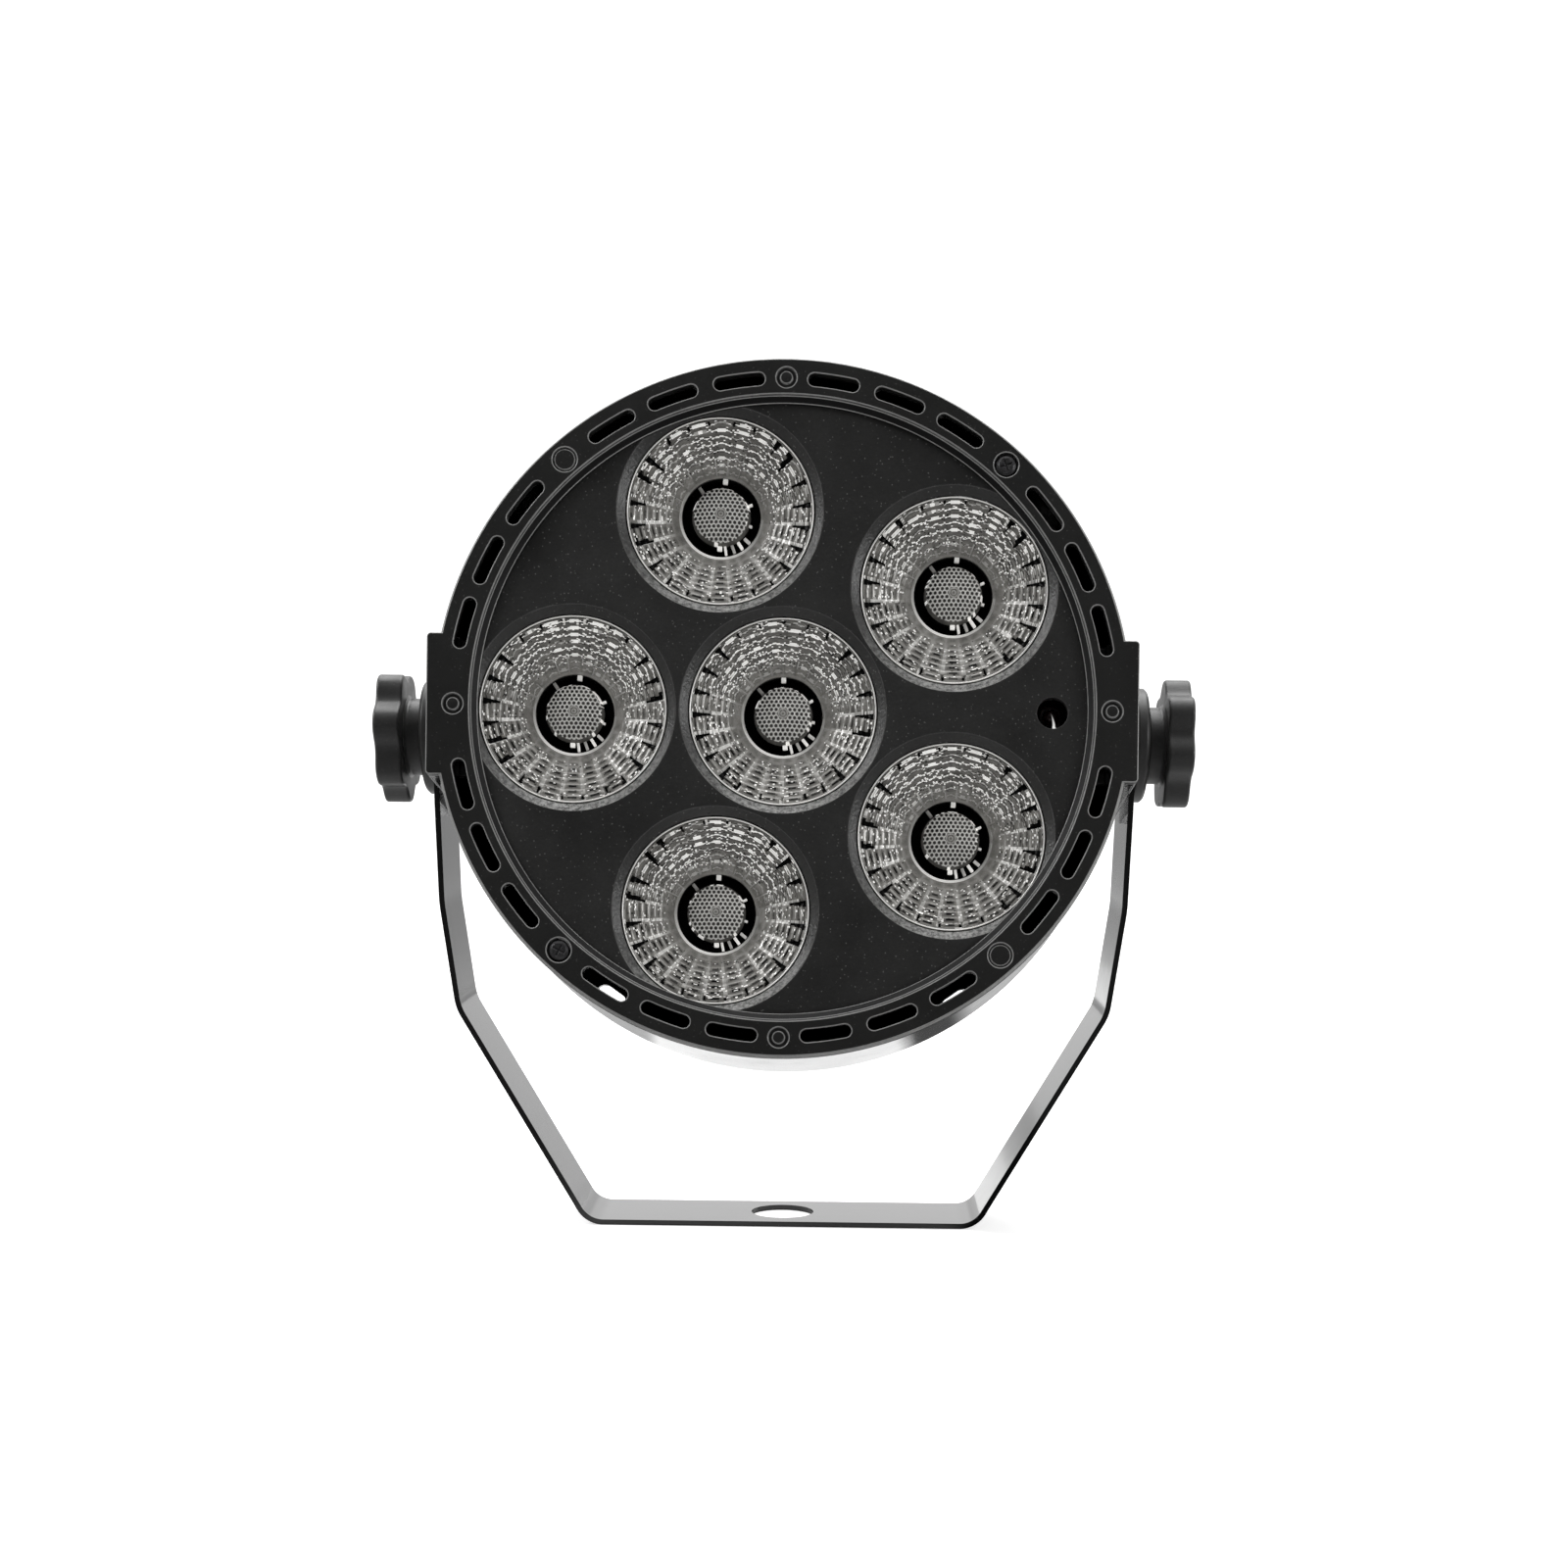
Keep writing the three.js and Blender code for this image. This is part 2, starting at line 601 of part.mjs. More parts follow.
place('led_board', ledBoard(), FINISH.board);
place('ir_receiver', irReceiver(), FINISH.glass);
place('heat_sink', heatSink(), FINISH.aluminium);
place('fan_frame', fanFrame(), FINISH.holder);
place('fan_rotor', fanRotor(), FINISH.holder);
place('rear_housing', rearHousing(), FINISH.gloss);

place('rear_panel', rearPanel(), FINISH.satin);
PANEL_SCREW_ANGLES.forEach((angle, i) => {
  const at = polar(PANEL_SCREW_R, angle);
  place(`panel_screw_${i + 1}`, screw(at, PANEL_SCREW), FINISH.zinc);
});
place('control_board', controlBoard(), FINISH.circuit);
place('display', display(), FINISH.glass);
for (const [name, x] of Object.entries(BUTTON_X)) {
  place(`button_${name}`, turned(BUTTON_PROFILE, 12, [x, BUTTON_Y]), FINISH.knob);
}
place('power_supply_board', powerSupplyBoard(), FINISH.circuit);
place('signal_socket', signalSocket(), FINISH.zinc);
place('socket_latch', socketLatch(), FINISH.steel);
place('signal_plug', signalPlug(), FINISH.zinc);
place('mains_inlet', mainsInlet(), FINISH.holder);
place('fuse_drawer', fuseDrawer(), FINISH.knob);

for (const side of ['left', 'right']) {
  for (const [name, shape, finish] of PIVOT_PIECES) {
    place(`${name}_${side}`, side === 'left' ? shape.mirror([1, 0, 0]) : shape, finish);
  }
}

// centre the fixture over its origin, front to back
fixture.updateMatrixWorld(true);
const bounds = new THREE.Box3().setFromObject(fixture, true);
fixture.position.y = -Math.round(((bounds.min.y + bounds.max.y) / 2) * 100) / 100;
fixture.updateMatrixWorld(true);

export default fixture;
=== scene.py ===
import json
import math

import bmesh
import bpy
import numpy as np
from mathutils import Matrix, Vector


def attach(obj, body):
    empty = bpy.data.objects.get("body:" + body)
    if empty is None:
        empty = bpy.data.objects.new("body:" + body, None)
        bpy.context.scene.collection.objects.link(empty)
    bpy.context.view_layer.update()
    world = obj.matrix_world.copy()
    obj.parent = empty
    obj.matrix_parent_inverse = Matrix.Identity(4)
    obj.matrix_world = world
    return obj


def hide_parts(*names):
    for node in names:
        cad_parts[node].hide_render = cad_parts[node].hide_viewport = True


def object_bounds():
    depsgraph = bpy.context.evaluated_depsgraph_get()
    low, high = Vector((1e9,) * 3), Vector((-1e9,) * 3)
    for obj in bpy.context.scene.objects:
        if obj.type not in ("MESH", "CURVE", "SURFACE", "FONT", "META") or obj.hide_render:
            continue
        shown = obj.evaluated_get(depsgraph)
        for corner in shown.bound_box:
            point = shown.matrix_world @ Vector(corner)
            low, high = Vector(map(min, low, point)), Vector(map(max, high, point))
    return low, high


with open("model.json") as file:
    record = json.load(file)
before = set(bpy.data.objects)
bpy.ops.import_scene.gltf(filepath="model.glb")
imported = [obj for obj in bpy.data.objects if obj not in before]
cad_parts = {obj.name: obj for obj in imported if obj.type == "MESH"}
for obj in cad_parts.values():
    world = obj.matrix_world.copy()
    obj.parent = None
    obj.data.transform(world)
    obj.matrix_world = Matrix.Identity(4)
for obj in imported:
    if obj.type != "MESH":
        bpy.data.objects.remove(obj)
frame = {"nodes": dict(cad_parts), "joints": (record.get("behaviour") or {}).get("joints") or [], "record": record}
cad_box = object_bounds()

# ------------------------------------------------------------------ where the head is
RECORD = frame["record"]
JOINT = {j["name"]: j for j in frame["joints"]}
PIVOT = Vector(JOINT["head_tilt"]["pos_m"])
BACK = Vector(JOINT["fan_spin"]["axis"]).normalized()
FRONT = -BACK
RIGHT = Vector((1.0, 0.0, 0.0))
UP = FRONT.cross(RIGHT)
MM = 0.001


def basis(x, y, z, origin):
    m = Matrix.Identity(4)
    for i in range(3):
        m[i][0], m[i][1], m[i][2], m[i][3] = x[i] * MM, y[i] * MM, z[i] * MM, origin[i]
    return m


HEAD = basis(RIGHT, UP, FRONT, PIVOT)              # x right, y up, z to the front, millimetres
YOKE = basis(RIGHT, Vector((0, 0, 1)), Vector((0, -1, 0)), PIVOT)


def node_points(name):
    return np.array([v.co for v in frame["nodes"][name].data.vertices], float)


def depth_range(name):
    z = (node_points(name) - np.array(PIVOT)) @ np.array(FRONT) / MM
    return z.min(), z.max()


FACE = depth_range("front_bezel")[1]


def Z(depth):
    return FACE - depth


def centre_of(name):
    """Head-frame x, y (mm) of the middle of a CAD node."""
    p = node_points(name) - np.array(PIVOT)
    x, y = p @ np.array(RIGHT) / MM, p @ np.array(UP) / MM
    return (x.min() + x.max()) / 2, (y.min() + y.max()) / 2


def polar(r, a):
    return r * math.cos(math.radians(a)), r * math.sin(math.radians(a))


# ------------------------------------------------------------------ mesh tools (millimetres)
class Shape:
    def __init__(self):
        self.v, self.f, self.m, self.ft = [], [], [], None

    def add(self, verts, faces, slot=0):
        o = len(self.v)
        self.v += [tuple(p) for p in verts]
        self.f += [tuple(i + o for i in f) for f in faces]
        self.m += [slot] * len(faces)
        return self


def lathe(profile, seg=96, cx=0.0, cy=0.0, closed=True, z_of=None):
    """Turned body about the z axis from (radius, depth) pairs."""
    verts, rings = [], []
    for r, d in profile:
        z = Z(d) if z_of is None else z_of(d)
        if r < 1e-6:
            rings.append([len(verts)])
            verts.append((cx, cy, z))
        else:
            rings.append(list(range(len(verts), len(verts) + seg)))
            verts += [(cx + r * math.cos(2 * math.pi * i / seg), cy + r * math.sin(2 * math.pi * i / seg), z) for i in range(seg)]
    faces = []
    pairs = list(zip(rings, rings[1:])) + ([(rings[-1], rings[0])] if closed else [])
    for a, b in pairs:
        if len(a) == 1 and len(b) == 1:
            continue
        for i in range(seg):
            j = (i + 1) % seg
            if len(a) == 1:
                faces.append((a[0], b[j], b[i]))
            elif len(b) == 1:
                faces.append((a[i], a[j], b[0]))
            else:
                faces.append((a[i], a[j], b[j], b[i]))
    return verts, faces


def rounded(points, n=5, closed=True):
    """Polyline with arcs: points are (x, y) or (x, y, radius)."""
    out = []
    k = len(points)
    for i, p in enumerate(points):
        r = p[2] if len(p) > 2 else 0
        if r <= 0 or (not closed and i in (0, k - 1)):
            out.append((p[0], p[1]))
            continue
        c = Vector((p[0], p[1]))
        a = Vector(points[i - 1][:2]) - c
        b = Vector(points[(i + 1) % k][:2]) - c
        la, lb = a.length, b.length
        a.normalize(), b.normalize()
        half = math.acos(max(-1, min(1, a.dot(b)))) / 2
        t = min(r / math.tan(half), la * 0.49, lb * 0.49)
        rr = t * math.tan(half)
        mid = (a + b).normalized() * (rr / math.sin(half)) + c
        p0, p1 = c + a * t, c + b * t
        a0, a1 = math.atan2(*(p0 - mid).yx), math.atan2(*(p1 - mid).yx)
        da = (a1 - a0 + math.pi) % (2 * math.pi) - math.pi
        for s in range(n + 1):
            w = a0 + da * s / n
            out.append((mid.x + rr * math.cos(w), mid.y + rr * math.sin(w)))
    return out


def circle(r, n=48, cx=0.0, cy=0.0, phase=0.0):
    return [(cx + r * math.cos(2 * math.pi * (i + phase) / n), cy + r * math.sin(2 * math.pi * (i + phase) / n)) for i in range(n)]


def rect(w, h, r, cx=0.0, cy=0.0, n=5):
    return rounded([(cx - w / 2, cy - h / 2, r), (cx + w / 2, cy - h / 2, r), (cx + w / 2, cy + h / 2, r), (cx - w / 2, cy + h / 2, r)], n)


def plate(loops, z0, z1, bevel=0.3, res=2):
    """Flat plate from closed 2-D loops (outline first, then holes), edges rounded, between two heights."""
    t = abs(z1 - z0)
    bevel = min(bevel, t / 2 - 1e-3)
    cu = bpy.data.curves.new("plate", "CURVE")
    cu.dimensions, cu.fill_mode = "2D", "BOTH"
    cu.extrude, cu.bevel_depth, cu.bevel_resolution, cu.offset = t / 2 - bevel, bevel, res, -bevel
    for loop in loops:
        sp = cu.splines.new("POLY")
        sp.points.add(len(loop) - 1)
        for p, (x, y) in zip(sp.points, loop):
            p.co = (x, y, 0, 1)
        sp.use_cyclic_u = True
    ob = bpy.data.objects.new("plate", cu)
    bpy.context.scene.collection.objects.link(ob)
    dg = bpy.context.evaluated_depsgraph_get()
    me = bpy.data.meshes.new_from_object(ob.evaluated_get(dg), preserve_all_data_layers=False, depsgraph=dg)
    bm = bmesh.new()
    bm.from_mesh(me)
    bmesh.ops.remove_doubles(bm, verts=bm.verts, dist=2e-4)
    bmesh.ops.dissolve_degenerate(bm, edges=bm.edges, dist=1e-5)
    bm.verts.index_update()
    verts = [(v.co.x, v.co.y, v.co.z + (z0 + z1) / 2) for v in bm.verts]
    faces = [tuple(v.index for v in f.verts) for f in bm.faces]
    bm.free()
    bpy.data.objects.remove(ob)
    bpy.data.meshes.remove(me)
    bpy.data.curves.remove(cu)
    return verts, faces


def turn(part, m):
    verts, faces = part
    return [tuple(m @ Vector(v)) for v in verts], faces


def cuboid(x0, x1, y0, y1, z0, z1, bevel=0.5, seg=2):
    bm = bmesh.new()
    bmesh.ops.create_cube(bm, size=1)
    for v in bm.verts:
        v.co = Vector((x0 + (v.co.x + 0.5) * (x1 - x0), y0 + (v.co.y + 0.5) * (y1 - y0), z0 + (v.co.z + 0.5) * (z1 - z0)))
    if bevel:
        bmesh.ops.bevel(bm, geom=bm.edges, offset=bevel, segments=seg, affect="EDGES", profile=0.5)
    bm.verts.index_update()
    out = [tuple(v.co) for v in bm.verts], [tuple(v.index for v in f.verts) for f in bm.faces]
    bm.free()
    return out


def mesh_object(name, shape, matrix, smooth=35, weld=False):
    me = bpy.data.meshes.new(name)
    me.from_pydata(shape.v, [], shape.f)
    me.update()
    if any(shape.m):
        me.polygons.foreach_set("material_index", shape.m)
    # per-face painted light, read by the lens material
    if shape.ft is not None:
        at = me.attributes.new("painted_light", "FLOAT", "FACE")
        at.data.foreach_set("value", np.array(shape.ft, np.float32))
    me.transform(matrix)
    bm = bmesh.new()
    bm.from_mesh(me)
    if weld:
        bmesh.ops.remove_doubles(bm, verts=bm.verts, dist=1e-7)
    bmesh.ops.recalc_face_normals(bm, faces=bm.faces)
    bm.to_mesh(me)
    bm.free()
    me.polygons.foreach_set("use_smooth", [True] * len(me.polygons))
    me.set_sharp_from_angle(angle=math.radians(smooth))
    ob = bpy.data.objects.new(name, me)
    bpy.context.scene.collection.objects.link(ob)
    return ob


def painted_highlight_edges(ob, slot, bands=((0.2, 0.84), (0.885, 0.985)), keep=None):
    """Give the small edge roundings that face forward their own material slot, a pale finish: painted edge highlight.
    """
    c = Vector(PIVOT)
    for poly in ob.data.polygons:
        dot = abs(poly.normal.dot(FRONT))
        if any(a < dot < b for a, b in bands) and poly.material_index == 0:
            p = poly.center - c
            if keep is None or keep(p.dot(RIGHT) / MM, p.dot(UP) / MM, p.dot(FRONT) / MM):
                poly.material_index = slot
    return ob


def weighted(ob):
    w = ob.modifiers.new("normals", "WEIGHTED_NORMAL")
    w.keep_sharp = True
    w.weight = 80
    return ob


def finish_piece(ob, body, nodes, slot, *mats):
    for m in mats:
        ob.data.materials.append(m)
    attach(ob, body)
    if nodes:
        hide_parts(*nodes)
    return ob


# ------------------------------------------------------------------ materials
class Tree:
    """Short-hand for building a shader node tree."""

    def __init__(self, name):
        self.mat = bpy.data.materials.new(name)
        self.mat.use_nodes = True
        self.nt = self.mat.node_tree
        self.nt.nodes.clear()
        self.coord = self.add("ShaderNodeTexCoord").outputs["Object"]

    def add(self, kind, **kw):
        n = self.nt.nodes.new(kind)
        for k, v in kw.items():
            setattr(n, k, v)
        return n

    def put(self, socket, value):
        if isinstance(value, bpy.types.NodeSocket):
            self.nt.links.new(value, socket)
        elif isinstance(value, (tuple, list)):
            socket.default_value = (*value, 1.0) if len(value) == 3 and len(socket.default_value) == 4 else value
        else:
            socket.default_value = value

    def noise(self, scale, detail=2.0, rough=0.5, distortion=0.0, coord=None):
        n = self.add("ShaderNodeTexNoise")
        self.put(n.inputs["Vector"], coord or self.coord)
        self.put(n.inputs["Scale"], scale), self.put(n.inputs["Detail"], detail)
        self.put(n.inputs["Roughness"], rough), self.put(n.inputs["Distortion"], distortion)
        return n.outputs[0]

    def cells(self, scale, feature="F1", coord=None):
        n = self.add("ShaderNodeTexVoronoi", feature=feature)
        self.put(n.inputs["Vector"], coord or self.coord)
        self.put(n.inputs["Scale"], scale)
        return n.outputs["Distance"]

    def ramp(self, value, a, b, lo=0.0, hi=1.0):
        n = self.add("ShaderNodeMapRange")
        n.clamp = True
        for s, v in zip(("Value", "From Min", "From Max", "To Min", "To Max"), (value, a, b, lo, hi)):
            self.put(n.inputs[s], v)
        return n.outputs[0]

    def math(self, op, a, b=0.0, c=0.0):
        n = self.add("ShaderNodeMath", operation=op)
        for s, v in zip(n.inputs, (a, b, c)):
            self.put(s, v)
        return n.outputs[0]

    def mix(self, factor, a, b):
        n = self.add("ShaderNodeMix", data_type="RGBA")
        self.put(n.inputs[0], factor)
        self.put(n.inputs[6], a if isinstance(a, bpy.types.NodeSocket) else (*a, 1.0))
        self.put(n.inputs[7], b if isinstance(b, bpy.types.NodeSocket) else (*b, 1.0))
        return n.outputs[2]

    def bump(self, height, strength, distance, normal=None):
        n = self.add("ShaderNodeBump")
        self.put(n.inputs["Height"], height), self.put(n.inputs["Strength"], strength)
        self.put(n.inputs["Distance"], distance)
        if normal is not None:
            self.put(n.inputs["Normal"], normal)
        return n.outputs[0]

    def edge(self, radius):
        """(rounded normal, 0..1 mask that is high on convex and concave edges)"""
        bv = self.add("ShaderNodeBevel", samples=4)
        self.put(bv.inputs["Radius"], radius)
        g = self.add("ShaderNodeNewGeometry")
        d = self.add("ShaderNodeVectorMath", operation="DOT_PRODUCT")
        self.put(d.inputs[0], bv.outputs[0]), self.put(d.inputs[1], g.outputs["Normal"])
        return bv.outputs[0], self.ramp(d.outputs["Value"], 1.0, 0.90)

    def attribute(self, name):
        n = self.add("ShaderNodeAttribute", attribute_name=name)
        return n.outputs["Fac"]

    def principled(self, **kw):
        n = self.add("ShaderNodeBsdfPrincipled")
        names = {"base": "Base Color", "rough": "Roughness", "metal": "Metallic", "spec": "Specular IOR Level", "normal": "Normal",
                 "coat": "Coat Weight", "coat_rough": "Coat Roughness", "trans": "Transmission Weight", "ior": "IOR", "alpha": "Alpha",
                 "aniso": "Anisotropic", "emit": "Emission Color", "emit_power": "Emission Strength", "sheen": "Sheen Weight", "tint": "Specular Tint"}
        for k, v in kw.items():
            self.put(n.inputs[names[k]], v)
        return n.outputs[0]

    def out(self, shader):
        o = self.add("ShaderNodeOutputMaterial")
        self.nt.links.new(shader, o.inputs["Surface"])
        return self.mat


def plastic(name, base, rough, grain=2600, depth=0.03, blotch=0.15, spec=0.4, edge=0.25, wear_and_edge_highlight=0.06, dust_and_top_light=0.25, gloss_var=0.1, coat=0.0, speck=0.0, lay=(0.5, 0.72)):
    """Moulded or painted black surface: fine grain in relief, patchy sheen, paler edges (partly wear, partly painted
    edge highlight), up-facing faces lighter (partly settled dust, partly painted light from above) and pale specks as
    painted sparkle.
    """
    t = Tree(name)
    fine = t.noise(grain, 3, 0.6)
    mid = t.noise(grain / 9, 3, 0.55)
    patch = t.noise(38, 4, 0.6)
    smear = t.noise(130, 5, 0.65, 0.6)
    rn, mask = t.edge(edge * MM)
    col = t.mix(t.ramp(patch, 0.3, 0.7, 0, blotch), base, tuple(c * 1.9 + 0.004 for c in base))
    col = t.mix(t.math("MULTIPLY", t.ramp(fine, 0.35, 0.75), 0.35), col, tuple(c * 0.55 for c in base))
    # paler edges: partly wear, partly painted edge highlight
    col = t.mix(t.math("MULTIPLY", mask, t.ramp(smear, 0.36, 0.60, 0.45, 1.0)), col, tuple(c + wear_and_edge_highlight for c in base))
    # up-facing faces lighter: partly settled dust, partly painted light from above; from 0.9 up the pale colour is
    # painted light from above only
    g = t.add("ShaderNodeNewGeometry")
    sep = t.add("ShaderNodeSeparateXYZ")
    t.put(sep.inputs[0], g.outputs["Normal"])
    dust_and_top_light_amount = t.math("MULTIPLY", t.ramp(sep.outputs[2], 0.35, 1.0), t.ramp(t.noise(900, 4, 0.7), lay[0], lay[1], 0.02, dust_and_top_light))
    col = t.mix(dust_and_top_light_amount, col, (0.16, 0.155, 0.15) if dust_and_top_light < 0.9 else (0.55, 0.55, 0.53))
    # pale specks: painted sparkle of the grain
    if speck:
        painted_sparkle_dots = t.math("MULTIPLY", t.ramp(t.cells(900), 0.22, 0.10), t.ramp(t.noise(800, 2), 0.46, 0.56))
        col = t.mix(t.math("MULTIPLY", painted_sparkle_dots, min(1.0, 0.6 * speck)), col, (0.16, 0.16, 0.155))
    r = t.ramp(t.math("ADD", t.math("MULTIPLY", patch, 0.5), t.math("MULTIPLY", smear, 0.5)), 0.3, 0.7, rough - gloss_var, rough + gloss_var)
    n = t.bump(t.math("ADD", fine, t.math("MULTIPLY", mid, 0.7)), 1.0, depth * MM, rn)
    kw = dict(base=col, rough=r, spec=spec, normal=n)
    if coat:
        kw.update(coat=coat, coat_rough=0.06)
    return t.out(t.principled(**kw))


def metal(name, base, rough, scale=700, stretch=(1, 1, 14), depth=0.01, edge=0.2, stain=(0.3, 0.3, 0.3), amount=0.3):
    """Bare or plated metal with a drawn or tumbled grain and slight tarnish."""
    t = Tree(name)
    mp = t.add("ShaderNodeMapping")
    t.put(mp.inputs["Vector"], t.coord)
    mp.inputs["Scale"].default_value = stretch
    streak = t.noise(scale, 4, 0.6, 0, mp.outputs[0])
    spot = t.noise(180, 4, 0.6)
    rn, mask = t.edge(edge * MM)
    col = t.mix(t.ramp(spot, 0.45, 0.75, 0, amount), base, stain)
    col = t.mix(t.math("MULTIPLY", mask, 0.5), col, tuple(min(1, c * 1.25 + 0.04) for c in base))
    r = t.ramp(streak, 0.3, 0.7, rough - 0.08, rough + 0.12)
    return t.out(t.principled(base=col, rough=r, metal=1.0, normal=t.bump(streak, 0.6, depth * MM, rn)))


def board(name, mask_colour, copper, pitch=900):
    """Solder mask over etched tracks."""
    t = Tree(name)
    tracks = t.cells(pitch / 3, "DISTANCE_TO_EDGE")
    rn, _ = t.edge(0.15 * MM)
    line = t.ramp(tracks, 0.03, 0.06, 1.0, 0.0)
    col = t.mix(t.math("MULTIPLY", line, 0.7), mask_colour, copper)
    col = t.mix(t.ramp(t.noise(60, 3), 0.4, 0.7, 0, 0.15), col, tuple(c * 0.6 for c in mask_colour))
    n = t.bump(line, 0.5, 0.03 * MM, rn)
    return t.out(t.principled(base=col, rough=t.ramp(t.noise(400, 3), 0.3, 0.7, 0.3, 0.42), spec=0.5, normal=n))


BEZEL = plastic("bezel_plastic", (0.0185, 0.0185, 0.0180), 0.38, grain=2300, depth=0.02, spec=0.34, wear_and_edge_highlight=0.16, edge=0.32, speck=0.5)
# pale finish for the bezel's forward edge roundings: painted edge highlight
BEZEL_EDGE_HIGHLIGHT = plastic("bezel_edge_highlight", (0.27, 0.27, 0.265), 0.28, grain=1400, depth=0.03, spec=0.6, wear_and_edge_highlight=0.25, edge=0.2, blotch=0.2)
PANEL = plastic("panel_plastic", (0.0185, 0.0185, 0.0180), 0.50, grain=1300, depth=0.14, spec=0.36, wear_and_edge_highlight=0.08, edge=0.3, blotch=0.6, speck=1.3)
# well chamfers: their up-facing faces turn pale, painted light from above that brightens the lower chamfers
WELL = plastic("well_plastic", (0.027, 0.027, 0.026), 0.34, grain=1250, depth=0.2, spec=0.7, wear_and_edge_highlight=0.10, blotch=0.3, speck=1.6, dust_and_top_light=1.0, lay=(0.38, 0.62))
HOUSING = plastic("housing_plastic", (0.005, 0.005, 0.005), 0.13, grain=900, depth=0.002, spec=0.45, wear_and_edge_highlight=0.02, gloss_var=0.05, dust_and_top_light=0.12)
SHEET = plastic("panel_paint", (0.010, 0.010, 0.010), 0.42, grain=1300, depth=0.04, spec=0.45, wear_and_edge_highlight=0.05, speck=0.4)
YOKE_PAINT = plastic("yoke_paint", (0.002, 0.002, 0.002), 0.14, grain=500, depth=0.0025, spec=0.35, wear_and_edge_highlight=0.001, edge=0.1, gloss_var=0.04, coat=0.58, dust_and_top_light=0.02, blotch=0.05)
KNOB = plastic("knob_plastic", (0.040, 0.040, 0.0395), 0.36, grain=2600, depth=0.03, spec=0.5, wear_and_edge_highlight=0.09, edge=0.4, speck=0.3)
HOLDER = plastic("holder_plastic", (0.004, 0.004, 0.004), 0.5, grain=2000, depth=0.03, spec=0.3, wear_and_edge_highlight=0.01, dust_and_top_light=0.05)
RUBBER = plastic("rubber", (0.012, 0.012, 0.012), 0.8, grain=1800, depth=0.06, spec=0.2, wear_and_edge_highlight=0.02)
ALU = metal("bare_aluminium", (0.62, 0.63, 0.64), 0.36, stain=(0.45, 0.45, 0.46))
STEEL = metal("bright_steel", (0.56, 0.56, 0.57), 0.24, stretch=(10, 1, 1), stain=(0.4, 0.39, 0.37))
ZINC = metal("zinc", (0.42, 0.42, 0.42), 0.34, stretch=(1, 1, 1), scale=1600, stain=(0.3, 0.3, 0.3))
BRASS = metal("brass", (0.60, 0.42, 0.16), 0.3, stain=(0.35, 0.24, 0.1))
BLACK_SCREW = metal("black_screw", (0.16, 0.16, 0.165), 0.36, stretch=(1, 1, 1), scale=2000, stain=(0.06, 0.055, 0.05))
WHITE_BOARD = board("board_white", (0.80, 0.80, 0.78), (0.86, 0.85, 0.80))
GREEN_BOARD = board("board_green", (0.02, 0.09, 0.035), (0.05, 0.17, 0.06))


def dark_window(name="dark_window", streak=None):
    """Smoky clear plastic. streak is a point on it from which a narrow painted reflection of the lit rim, given off as
    emission, runs down.
    """
    t = Tree(name)
    rn, _ = t.edge(0.2 * MM)
    swirl = t.noise(300, 4, 0.6)
    kw = {}
    if streak is not None:
        rel = t.add("ShaderNodeVectorMath", operation="SUBTRACT")
        t.put(rel.inputs[0], t.coord)
        rel.inputs[1].default_value = streak

        def along(axis):
            n = t.add("ShaderNodeVectorMath", operation="DOT_PRODUCT")
            t.put(n.inputs[0], rel.outputs[0])
            n.inputs[1].default_value = axis
            return n.outputs["Value"]

        across, down = t.math("MULTIPLY", along(RIGHT), 1000.0), t.math("MULTIPLY", along(UP), -1000.0)
        off = t.math("ABSOLUTE", t.math("SUBTRACT", across, t.math("MULTIPLY", down, 0.33)))
        painted_streak_mask = t.ramp(t.math("SUBTRACT", t.math("MULTIPLY", down, 0.15), off), -0.02, 0.16)
        kw = dict(emit=(1.0, 1.0, 0.98), emit_power=t.math("MULTIPLY", painted_streak_mask, t.ramp(down, 0.3, 3.6, 0.25, 0.8)))
    return t.out(t.principled(base=t.mix(t.ramp(swirl, 0.3, 0.7, 0, 0.3), (0.010, 0.003, 0.003), (0.02, 0.006, 0.006)), rough=t.ramp(t.noise(120, 3), 0.3, 0.7, 0.03, 0.09),
                              spec=0.6, coat=0.5, normal=t.bump(swirl, 0.2, 0.002 * MM, rn), **kw))


WINDOW = dark_window()


def phosphor():
    t = Tree("led_phosphor")
    grit = t.noise(5000, 3, 0.6)
    return t.out(t.principled(base=t.mix(t.ramp(grit, 0.35, 0.65), (0.80, 0.66, 0.26), (0.72, 0.55, 0.16)), rough=t.ramp(grit, 0.3, 0.7, 0.18, 0.35), coat=0.6, coat_rough=0.05,
                              normal=t.bump(grit, 0.4, 0.01 * MM)))


PHOSPHOR = phosphor()


